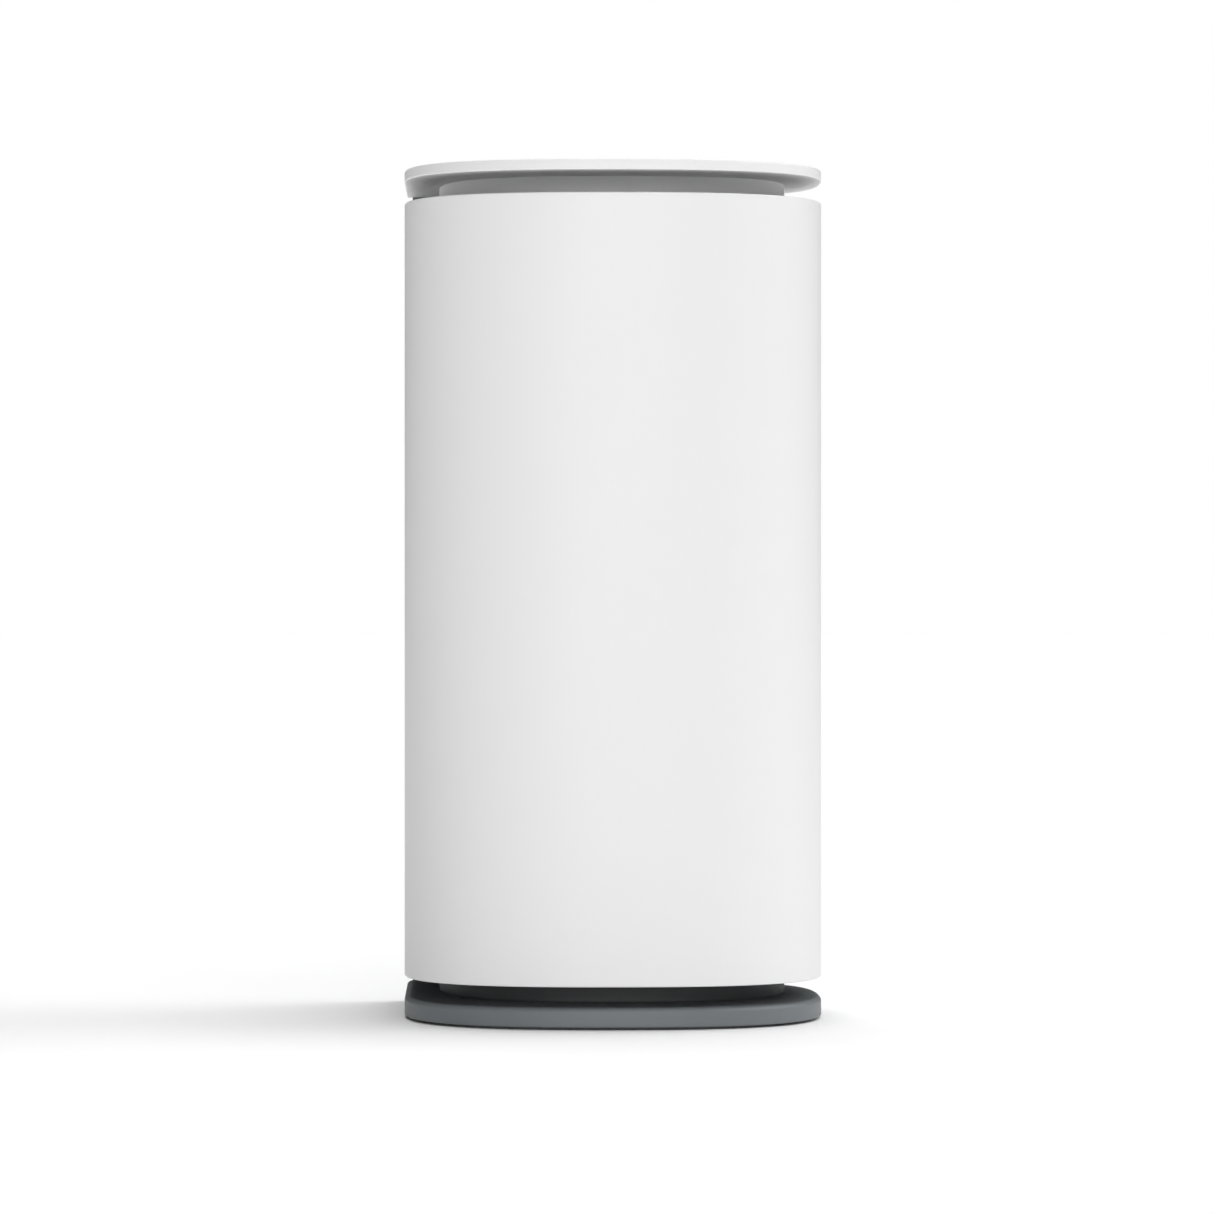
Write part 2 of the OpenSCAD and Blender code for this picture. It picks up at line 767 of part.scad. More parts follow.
module rear_cover() {
    slots = floor((bay_right_x - bay_left_x - 2 * slot_margin) / slot_pitch);
    slot_x = (bay_left_x + bay_right_x - slots * slot_pitch) / 2;
    slot_low = bay_z + slot_margin;
    slot_high = pull_low_z - slot_margin;
    slot_l = (slot_high - slot_low - (slot_rows - 1) * slot_rib) / slot_rows;
    color("slategray") difference() {
        union() {
            difference() {
                cover_skin(cover_inset, cover_gap, cover_y);
                cover_skin(cover_inset + cover_wall, cover_gap + cover_wall, cover_y - cut);
            }
            intersection() {
                cover_skin(cover_inset, cover_gap, cover_y);
                pull_room(cover_wall, pull_y - cover_wall);
            }
        }
        pull_room(0, pull_y);
        for (i = [0:slots], r = [0:slot_rows - 1])
            translate([slot_x + i * slot_pitch, 0, slot_low + r * (slot_l + slot_rib)])
                block([-slot_w / 2, cover_y + slot_in, 0], [slot_w / 2, body_d, slot_l]);
    }
}

// ---- fan ----

module inlet_ring() {
    color("gray") fan_axis() difference() {
        union() {
            rod_y(inlet_r + ring_wall, fan_wall_y - ring_l, bay_floor_y);
            rod_y(inlet_r + ring_flange, fan_wall_y - flange_t, fan_wall_y);
        }
        rod_y(inlet_r, fan_wall_y - ring_l - cut, bay_floor_y + cut);
    }
}

module fan_guard() {
    guard_y = bay_floor_y - guard_t;
    spoke_r = inlet_r - guard_wire / 2;
    color("gray") fan_axis() {
        for (r = [inlet_r - fit:-guard_pitch:guard_pitch]) difference() {
            rod_y(r, guard_y, bay_floor_y);
            rod_y(r - guard_wire, guard_y - cut, bay_floor_y + cut);
        }
        for (a = [0:60:120]) rotate([0, a, 0])
            block([-spoke_r, guard_y, -guard_wire / 2], [spoke_r, bay_floor_y, guard_wire / 2]);
    }
}

module fan_posts() {
    color("lightgray") fan_corners() rod_y(post_r, flange_y + bush_t, fan_wall_y);
}

module fan_bushes() {
    color("black") fan_corners() rod_y(bush_r, flange_y, flange_y + bush_t);
}

module motor_bracket() {
    reach = fan_post * sqrt(2);
    color("silver") difference() {
        union() {
            fan_axis() rod_y(motor_flange_r, bracket_y, flange_y);
            fan_axis() for (a = [45, 135]) rotate([0, a, 0])
                block([-reach, bracket_y, -arm_w / 2], [reach, flange_y, arm_w / 2]);
            fan_corners() rod_y(bush_r, bracket_y, flange_y);
        }
        fan_axis() rod_y(motor_r + fit, bracket_y - cut, flange_y + cut);
        motor_bolts() rod_y(screw_r + fit, bracket_y - cut, flange_y + cut);
    }
}

// Runs its children at the motor's four fixing screws
module motor_bolts() {
    fan_axis() for (a = [0:90:270]) rotate([0, a, 0]) translate([motor_bolt_r, 0, 0]) children();
}

module motor_screws() {
    color("silver") motor_bolts() {
        rod_y(screw_head_r, bracket_y - screw_head_t, bracket_y);
        rod_y(screw_r, bracket_y, boss_y);
    }
}

module motor_body() {
    color("dimgray") difference() {
        fan_axis() union() {
            rod_y(motor_r, motor_y, boss_y);
            rod_y(motor_flange_r, flange_y, boss_y);
            rod_y(boss_r, boss_y, boss_y + boss_t);
        }
        fan_axis() rod_y(shaft_r + shaft_room, motor_y - cut, boss_y + boss_t + cut);
        fan_axis() rod_y(bearing_r + fit, motor_y - cut, motor_y + bearing_t);
        fan_axis() rod_y(bearing_r + fit, boss_y + boss_t - bearing_t, boss_y + boss_t + cut);
        motor_bolts() rod_y(screw_r + fit, flange_y - cut, boss_y + cut);
    }
}

module motor_bearings() {
    color("silver") fan_axis() for (y = [motor_y, boss_y + boss_t - bearing_t]) difference() {
        rod_y(bearing_r, y, y + bearing_t);
        rod_y(shaft_r + run_fit, y - cut, y + bearing_t + cut);
    }
}

module motor_shaft() {
    color("silver") fan_axis()
        rod_y(shaft_r, motor_y + shaft_start, blade_y + hub_l + nut_t + shaft_end);
}

// One backward-curved blade between two radii, in plan
module blade_plan(r0, r1) {
    arc = [for (i = [0:blade_steps]) let (s = i / blade_steps)
        [r0 + (r1 - r0) * s, blade_sweep * pow(s, 1.25)]];
    hollow = [for (p = arc) p[0] * [cos(p[1]), sin(p[1])]];
    back = [for (p = arc) let (a = p[1] + blade_t / p[0] * 180 / PI) p[0] * [cos(a), sin(a)]];
    polygon(concat(hollow, [for (i = [blade_steps:-1:0]) back[i]]));
}

module fan_impeller() {
    blade_l = shroud_y - blade_y;
    color("lightgray") fan_axis() difference() {
        union() {
            rod_y(impeller_r, disc_y, blade_y);
            rod_y(hub_r, disc_y, blade_y + hub_l);
            difference() {
                rod_y(impeller_r, shroud_y, shroud_y + disc_t);
                rod_y(eye_r, shroud_y - cut, shroud_y + disc_t + cut);
            }
            translate([0, blade_y - disc_t / 2, 0]) rotate([-90, 0, 0])
                for (i = [0:blade_count - 1]) rotate([0, 0, i * 360 / blade_count])
                    linear_extrude(blade_l + disc_t) blade_plan(blade_in_r, impeller_r - blade_edge);
        }
        rod_y(shaft_r, disc_y - cut, blade_y + hub_l + cut);
    }
}

module impeller_nut() {
    nut_y = blade_y + hub_l;
    color("silver") fan_axis() difference() {
        translate([0, nut_y, 0]) rotate([-90, 0, 0]) cylinder(r = nut_r, h = nut_t, $fn = 6);
        rod_y(shaft_r, nut_y - cut, nut_y + nut_t + cut);
    }
}

// ---- electronics ----

module board_holes(r, y0, y1) {
    for (x = [board_x[0] + board_post_in, board_x[1] - board_post_in],
         z = [board_z + board_post_up, board_top_z - board_post_in])
        translate([x, 0, z]) rod_y(r, y0, y1);
}

module main_board() {
    color("darkgreen") difference() {
        block([board_x[0], board_y, board_z], [board_x[1], board_y + board_t, board_top_z]);
        board_holes(screw_r + fit, board_y - cut, board_y + board_t + cut);
    }
}

module board_posts() {
    color("lightgray") difference() {
        board_holes(board_post_r, board_y + board_t, fan_wall_y);
        board_holes(screw_r, board_y + board_t - cut, board_y + board_t + board_hole_l);
    }
}

module board_parts() {
    color("orange") translate([board_x[0], board_y, board_z]) {
        for (b = board_blocks) block([b[0], -b[4], b[1]], [b[2], 0, b[3]]);
        for (c = board_cans) translate([c[0], 0, c[1]]) rod_y(board_can_r, -board_can_h, 0);
    }
}

module dust_sensor() {
    color("black") block([sensor_x, fan_wall_y - sensor.y, sensor_z],
                         [sensor_x + sensor.x, fan_wall_y, sensor_z + sensor.z]);
}

module ribbon_cable() {
    x = board_x[0];
    top = control_z;
    color("gray") union() {
        block([x, board_y, board_top_z], [x + ribbon_w, board_y + ribbon_t, top]);
        block([x, board_y, top - ribbon_w], [-control_x + 10, board_y + ribbon_t, top]);
    }
}

// A lead made of straight runs with round elbows
module lead(points, r) {
    for (i = [0:len(points) - 2]) {
        run = points[i + 1] - points[i];
        translate(points[i]) rotate([0, acos(run.z / norm(run)), atan2(run.y, run.x)])
            cylinder(r = r, h = norm(run), $fn = 24);
        if (i > 0) translate(points[i]) sphere(r = r, $fn = 24);
    }
}

module motor_lead() {
    end_y = board_y + board_t / 2;
    color("black") lead([[lead_x, lead_y, lead_top_z], [lead_x, lead_y, lead_low_z],
                         [lead_x, end_y, lead_low_z], [lead_x, end_y, board_top_z]], lead_r);
}

foot_pad();
base_plate();
ballast_plate();
base_screws();
neck_lower();
core_housing();
neck_upper();
front_shell();
shell_posts();
shell_screws();
lid_plate();
lid_screws();
rear_panel();
panel_screws();
filter_bay();
bay_magnets();
inlet_ring();
fan_guard();
fan_posts();
fan_bushes();
motor_bracket();
motor_screws();
motor_body();
motor_bearings();
motor_lead();
main_board();
board_parts();
board_posts();
dust_sensor();
ribbon_cable();
power_inlet();
inlet_pins();
control_board();
control_screws();
key_switch();
button_spring();
light_ring();
rear_cover();
mesh_screen();
filter_frame();
pleated_filter();
carbon_pad();
filter_seal();
cassette_magnets();
fan_impeller();
impeller_nut();
motor_shaft();
power_button();
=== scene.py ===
"""Tower air purifier, modelled and finished around its CAD frame.

Each sub-assembly of the purifier is a class: its fields are its sizes in metres, and its methods
model its pieces, dress them in a finish and fix them to the body that they move with. The CAD nodes
whose shape is already right keep their mesh and are only dressed.
"""

import json
import logging
import math
from dataclasses import dataclass, replace
from enum import Enum
from typing import Callable, Sequence

import bmesh
import bpy
from mathutils import Matrix, Vector


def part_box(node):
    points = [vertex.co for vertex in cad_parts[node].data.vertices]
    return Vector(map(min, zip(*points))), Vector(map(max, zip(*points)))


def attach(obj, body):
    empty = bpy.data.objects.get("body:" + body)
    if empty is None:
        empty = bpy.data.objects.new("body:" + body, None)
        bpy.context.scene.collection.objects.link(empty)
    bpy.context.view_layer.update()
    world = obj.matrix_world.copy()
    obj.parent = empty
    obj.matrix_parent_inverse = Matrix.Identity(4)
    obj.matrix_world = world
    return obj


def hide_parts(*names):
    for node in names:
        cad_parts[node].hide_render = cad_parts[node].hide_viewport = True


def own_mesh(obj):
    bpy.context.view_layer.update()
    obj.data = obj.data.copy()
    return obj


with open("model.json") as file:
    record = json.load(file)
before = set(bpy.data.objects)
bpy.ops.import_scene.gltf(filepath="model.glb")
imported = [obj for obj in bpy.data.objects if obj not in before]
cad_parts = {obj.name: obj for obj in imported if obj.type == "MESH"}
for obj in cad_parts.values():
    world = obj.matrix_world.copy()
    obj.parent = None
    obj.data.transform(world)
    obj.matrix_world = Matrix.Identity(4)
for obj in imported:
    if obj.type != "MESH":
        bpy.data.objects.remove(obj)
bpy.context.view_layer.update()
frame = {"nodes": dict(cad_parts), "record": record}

log = logging.getLogger("air_purifier")

MM = 0.001
Point2 = tuple[float, float]
Colour = tuple[float, float, float]


class Body(str, Enum):
    """The rigid bodies that a piece can ride on."""

    ROOT = "root"
    CASSETTE = "filter_cassette"
    IMPELLER = "impeller"
    BUTTON = "power_button"


class Axis(Enum):
    """The direction that a round piece is turned about."""

    X = (0.0, math.pi / 2, 0.0)
    Y = (math.pi / 2, 0.0, 0.0)
    Z = (0.0, 0.0, 0.0)


# ---------------------------------------------------------------------------------------------
# Shader maths
# ---------------------------------------------------------------------------------------------


class Value:
    """A number socket of a shader that takes part in ordinary arithmetic."""

    def __init__(self, shader: "Shader", socket: bpy.types.NodeSocket) -> None:
        """Wraps one output socket.

        Args:
            shader: The shader that the socket belongs to.
            socket: The output that carries the number.
        """
        self.shader = shader
        self.socket = socket

    def _math(self, operation: str, first: "Value | float", second: "Value | float") -> "Value":
        """Adds one Math node and returns its result."""
        made = self.shader.node("ShaderNodeMath", {"operation": operation}, {0: first, 1: second})
        return Value(self.shader, made.outputs[0])

    def __add__(self, other: "Value | float") -> "Value":
        """Returns self + other."""
        return self._math("ADD", self, other)

    def __radd__(self, other: float) -> "Value":
        """Returns other + self."""
        return self._math("ADD", other, self)

    def __sub__(self, other: "Value | float") -> "Value":
        """Returns self - other."""
        return self._math("SUBTRACT", self, other)

    def __rsub__(self, other: float) -> "Value":
        """Returns other - self."""
        return self._math("SUBTRACT", other, self)

    def __mul__(self, other: "Value | float") -> "Value":
        """Returns self * other."""
        return self._math("MULTIPLY", self, other)

    def __rmul__(self, other: float) -> "Value":
        """Returns other * self."""
        return self._math("MULTIPLY", other, self)

    def __pow__(self, other: float) -> "Value":
        """Returns self raised to other."""
        return self._math("POWER", self, other)

    def above(self, level: float) -> "Value":
        """Returns 1 where self is above level, and 0 elsewhere."""
        return self._math("GREATER_THAN", self, level)


class Shader:
    """A node material under construction, with a Principled surface."""

    def __init__(self, name: str) -> None:
        """Starts an empty material.

        Args:
            name: The material's name.
        """
        self.material = bpy.data.materials.new(name)
        self.material.use_nodes = True
        self.tree = self.material.node_tree
        self.tree.nodes.clear()
        self.surface = self.node("ShaderNodeBsdfPrincipled", {}, {})
        output = self.node("ShaderNodeOutputMaterial", {}, {})
        self.tree.links.new(self.surface.outputs["BSDF"], output.inputs["Surface"])
        self.place = self.node("ShaderNodeTexCoord", {}, {}).outputs["Object"]

    def node(self, kind: str, settings: dict, sockets: dict) -> bpy.types.Node:
        """Adds a node.

        Args:
            kind: The node's type.
            settings: Properties that are set first. A "stops" entry holds a ramp's stops.
            sockets: Values or links for its inputs, by name or number.

        Returns:
            The new node.
        """
        made = self.tree.nodes.new(kind)
        for key, value in settings.items():
            if key == "stops":
                ramp = made.color_ramp
                while len(ramp.elements) < len(value):
                    ramp.elements.new(0.5)
                for stop, (place, colour) in zip(ramp.elements, value):
                    stop.position = place
                    stop.color = (*colour, 1.0)
            else:
                setattr(made, key, value)
        for key, value in sockets.items():
            self.feed(made.inputs[key], value)
        return made

    def feed(self, socket: bpy.types.NodeSocket, value: object) -> None:
        """Sets a socket to a plain value, or links it to a Value or a socket."""
        if isinstance(value, Value):
            self.tree.links.new(value.socket, socket)
        elif isinstance(value, bpy.types.NodeSocket):
            self.tree.links.new(value, socket)
        elif isinstance(value, tuple) and socket.type == "RGBA":
            socket.default_value = (*value, 1.0)
        else:
            socket.default_value = value

    def noise(self, size: float, detail: float = 2.0, stretch: Sequence[float] = (1, 1, 1)) -> Value:
        """Returns a noise value whose blobs are about size metres across.

        Args:
            size: Width of a blob.
            detail: Number of finer layers.
            stretch: Factor on the coordinates along each axis.

        Returns:
            The noise, around 0.5.
        """
        where = self.node("ShaderNodeMapping", {}, {"Vector": self.place, "Scale": tuple(stretch)})
        made = self.node("ShaderNodeTexNoise", {}, {
            "Vector": where.outputs["Vector"], "Scale": 1.0 / size, "Detail": detail})
        return Value(self, made.outputs["Fac"])

    def cells(self, size: float, feature: str = "F1", stretch: Sequence[float] = (1, 1, 1),
              metric: str = "EUCLIDEAN") -> Value:
        """Returns the distance field of random cells about size metres across."""
        where = self.node("ShaderNodeMapping", {}, {"Vector": self.place, "Scale": tuple(stretch)})
        settings = {"feature": feature}
        if feature != "DISTANCE_TO_EDGE":
            settings["distance"] = metric
        made = self.node("ShaderNodeTexVoronoi", settings, {
            "Vector": where.outputs["Vector"], "Scale": 1.0 / size})
        return Value(self, made.outputs["Distance"])

    def wave(self, size: float, direction: str) -> Value:
        """Returns a sine wave with the given period along one axis of the piece."""
        made = self.node("ShaderNodeTexWave", {"bands_direction": direction}, {
            "Vector": self.place, "Scale": math.pi / (10.0 * size)})
        return Value(self, made.outputs["Fac"])

    def blend(self, mask: Value, low: Colour, high: Colour) -> bpy.types.NodeSocket:
        """Returns the colour that goes from low to high as mask goes from 0 to 1."""
        made = self.node("ShaderNodeMix", {"data_type": "RGBA"}, {0: mask, 6: low, 7: high})
        return made.outputs[2]

    def set(self, **values: object) -> "Shader":
        """Feeds sockets of the surface; an underscore in a name stands for a space."""
        for key, value in values.items():
            self.feed(self.surface.inputs[key.replace("_", " ")], value)
        return self

    def relief(self, height: Value, depth: float, strength: float = 1.0) -> "Shader":
        """Raises the surface by height times depth metres."""
        bump = self.node("ShaderNodeBump", {}, {
            "Height": height, "Distance": depth, "Strength": strength})
        self.tree.links.new(bump.outputs["Normal"], self.surface.inputs["Normal"])
        return self


def shade(colour: Colour, factor: float) -> Colour:
    """Returns a colour made lighter or darker by a factor."""
    return tuple(min(1.0, channel * factor) for channel in colour)


# ---------------------------------------------------------------------------------------------
# Finishes
# ---------------------------------------------------------------------------------------------


@dataclass(frozen=True)
class Moulded:
    """Injection-moulded plastic with a fine spark-eroded grain."""

    colour: Colour
    roughness: float = 0.45
    grain: float = 0.6 * MM
    grain_depth: float = 0.012 * MM
    tint: float = 0.02
    polish: float = 0.05
    coat: float = 0.0

    def material(self, name: str) -> bpy.types.Material:
        """Returns the material."""
        shader = Shader(name)
        flow = shader.noise(70 * MM, 3.0)
        grain = shader.noise(self.grain, 3.0)
        scuff = shader.noise(9 * MM, 4.0)
        colour = shader.blend(flow, shade(self.colour, 1 - self.tint), shade(self.colour, 1 + self.tint))
        rough = self.roughness + self.polish * (grain - 0.5) + self.polish * 1.5 * (scuff - 0.5)
        shader.set(Base_Color=colour, Roughness=rough, Coat_Weight=self.coat)
        return shader.relief(grain, self.grain_depth).material


@dataclass(frozen=True)
class Metal:
    """Metal with fine drawn or turned marks along one axis."""

    colour: Colour
    roughness: float = 0.32
    mark: float = 0.25 * MM
    stretch: tuple[float, float, float] = (1.0, 1.0, 0.06)
    stain: float = 0.06

    def material(self, name: str) -> bpy.types.Material:
        """Returns the material."""
        shader = Shader(name)
        marks = shader.noise(self.mark, 3.0, self.stretch)
        bloom = shader.noise(6 * MM, 3.0)
        colour = shader.blend(bloom, shade(self.colour, 1 - self.stain), shade(self.colour, 1 + self.stain))
        shader.set(Base_Color=colour, Metallic=1.0,
                   Roughness=self.roughness + 0.18 * (marks - 0.5) + 0.12 * (bloom - 0.5))
        return shader.relief(marks, 0.006 * MM).material


@dataclass(frozen=True)
class Fibre:
    """Felted paper or card, with short fibres and a matt, uneven surface."""

    colour: Colour
    fibre: float = 0.5 * MM
    depth: float = 0.05 * MM
    soot: Colour = (0.70, 0.69, 0.66)

    def material(self, name: str) -> bpy.types.Material:
        """Returns the material."""
        shader = Shader(name)
        along = shader.noise(self.fibre, 4.0, (1.0, 1.0, 0.25))
        across = shader.noise(self.fibre, 4.0, (0.3, 1.0, 1.0))
        dust = shader.noise(28 * MM, 4.0)
        weave = along * across
        colour = shader.blend(dust * weave * 1.6, self.colour, self.soot)
        shader.set(Base_Color=colour, Roughness=0.88 + 0.12 * (along - 0.5), Sheen_Weight=0.15)
        return shader.relief(weave, self.depth).material


@dataclass(frozen=True)
class Granules:
    """Small grains bonded into a pad, or an open-cell foam."""

    colour: Colour
    grain: float = 1.6 * MM
    depth: float = 0.5 * MM
    sparkle: float = 0.25
    roughness: float = 0.7

    def material(self, name: str) -> bpy.types.Material:
        """Returns the material."""
        shader = Shader(name)
        grains = shader.cells(self.grain)
        clump = shader.noise(12 * MM, 3.0)
        facet = shader.noise(0.4 * MM, 2.0)
        # Lighter on the raised grain tops and darker in the low hollows between grains: painted shade
        # between grains, with the clump noise adding random tone.
        colour = shader.blend(grains * clump * 1.8, shade(self.colour, 2.2), shade(self.colour, 0.6))
        shader.set(Base_Color=colour, Roughness=self.roughness - self.sparkle * (facet - 0.5))
        return shader.relief(1.0 - grains, self.depth).material


@dataclass(frozen=True)
class CircuitBoard:
    """Solder mask over copper tracks, with tinned pads."""

    colour: Colour = (0.012, 0.11, 0.055)
    track: Colour = (0.03, 0.20, 0.10)
    pad: Colour = (0.62, 0.60, 0.52)

    def material(self, name: str) -> bpy.types.Material:
        """Returns the material."""
        shader = Shader(name)
        tracks = 1.0 - shader.cells(7 * MM, "F2", metric="MANHATTAN").above(1.05)
        pads = 1.0 - shader.cells(4.2 * MM, metric="CHEBYCHEV").above(0.16)
        mask = shader.blend(tracks, self.colour, self.track)
        mixed = shader.node("ShaderNodeMix", {"data_type": "RGBA"}, {0: pads, 6: mask, 7: self.pad})
        cloud = shader.noise(3 * MM, 2.0)
        shader.set(Base_Color=mixed.outputs[2], Metallic=pads * 0.9,
                   Roughness=0.28 + 0.12 * (cloud - 0.5) + 0.1 * pads)
        return shader.relief(tracks + pads, 0.03 * MM).material


@dataclass(frozen=True)
class Woven:
    """Plain-woven nylon gauze."""

    colour: Colour = (0.045, 0.047, 0.05)
    pitch: float = 1.1 * MM

    def material(self, name: str) -> bpy.types.Material:
        """Returns the material."""
        shader = Shader(name)
        warp = shader.wave(self.pitch, "X")
        weft = shader.wave(self.pitch, "Z")
        lint = shader.noise(20 * MM, 4.0)
        thread = warp * 0.5 + weft * 0.5
        colour = shader.blend(thread * lint * 1.7, shade(self.colour, 0.4), shade(self.colour, 2.6))
        shader.set(Base_Color=colour, Roughness=0.62 + 0.2 * (lint - 0.5))
        return shader.relief(thread, 0.25 * MM).material


@dataclass(frozen=True)
class LightGuide:
    """Frosted light guide, lit softly from behind."""

    colour: Colour = (0.42, 0.58, 0.62)
    glow: Colour = (0.30, 0.72, 0.85)
    power: float = 0.22

    def material(self, name: str) -> bpy.types.Material:
        """Returns the material."""
        shader = Shader(name)
        frost = shader.noise(1.2 * MM, 3.0)
        hot = shader.noise(14 * MM, 1.0)
        glow = shader.blend(hot, shade(self.glow, 0.7), self.glow)
        shader.set(Base_Color=shader.blend(frost, shade(self.colour, 0.94), self.colour),
                   Roughness=0.38 + 0.2 * (frost - 0.5), Emission_Color=glow,
                   Emission_Strength=self.power, IOR=1.49)
        return shader.relief(frost, 0.01 * MM).material


Finish = Moulded | Metal | Fibre | Granules | CircuitBoard | Woven | LightGuide


class Palette:
    """The finishes of the purifier, one for each material slot of the record."""

    FINISHES: dict[str, Finish] = {
        "white_shell": Moulded((0.86, 0.86, 0.86), 0.46, 0.7 * MM, 0.010 * MM, 0.006, 0.04),
        "light_plastic": Moulded((0.60, 0.61, 0.62), 0.52, 0.8 * MM, 0.015 * MM, 0.015),
        "slate_plastic": Moulded((0.168, 0.184, 0.195), 0.50, 0.8 * MM, 0.020 * MM, 0.03),
        # On the lower neck, charcoal_plastic stands in for the base's slate in shadow: painted shade for the
        # dim gap under the shell.
        "charcoal_plastic": Moulded((0.072, 0.076, 0.079), 0.55, 0.8 * MM, 0.020 * MM, 0.03),
        "black_plastic": Moulded((0.022, 0.022, 0.024), 0.40, 0.5 * MM, 0.015 * MM, 0.08),
        "rubber_dark": Moulded((0.16, 0.162, 0.165), 0.78, 1.2 * MM, 0.040 * MM, 0.10),
        "steel": Metal((0.66, 0.66, 0.67), 0.30),
        "bearing_steel": Metal((0.78, 0.78, 0.79), 0.16, 0.15 * MM, (1.0, 0.06, 1.0), 0.02),
        "motor_metal": Moulded((0.085, 0.088, 0.092), 0.42, 1.0 * MM, 0.030 * MM, 0.06, 0.08, 0.2),
        "brass_pins": Metal((0.83, 0.65, 0.34), 0.22, 0.2 * MM, (1.0, 0.06, 1.0), 0.04),
        "cable_jacket": Moulded((0.07, 0.07, 0.075), 0.58, 0.9 * MM, 0.020 * MM, 0.08),
        "circuit_board": CircuitBoard(),
        "board_parts": Moulded((0.10, 0.10, 0.11), 0.36, 0.6 * MM, 0.012 * MM, 0.35, 0.12),
        "light_guide": LightGuide(),
        "screen_mesh": Woven(),
        "filter_card": Fibre((0.80, 0.79, 0.76), 0.9 * MM, 0.03 * MM, (0.70, 0.68, 0.63)),
        "filter_paper": Fibre((0.88, 0.88, 0.86), 0.4 * MM, 0.06 * MM),
        "carbon": Granules((0.016, 0.016, 0.017)),
        "seal_foam": Granules((0.09, 0.09, 0.095), 0.9 * MM, 0.12 * MM, 0.05, 0.9),
    }

    def __init__(self) -> None:
        """Makes every finish once."""
        self.made = {slot: finish.material(slot) for slot, finish in self.FINISHES.items()}

    def dress(self, piece: bpy.types.Object, slot: str) -> None:
        """Gives a piece the finish of a slot.

        Args:
            piece: The piece to dress.
            slot: The material slot's name in the record.
        """
        material = self.made[slot]
        if piece.data.materials:
            for i in range(len(piece.data.materials)):
                piece.data.materials[i] = material
        else:
            piece.data.materials.append(material)


# ---------------------------------------------------------------------------------------------
# Bench: the modelling tools
# ---------------------------------------------------------------------------------------------


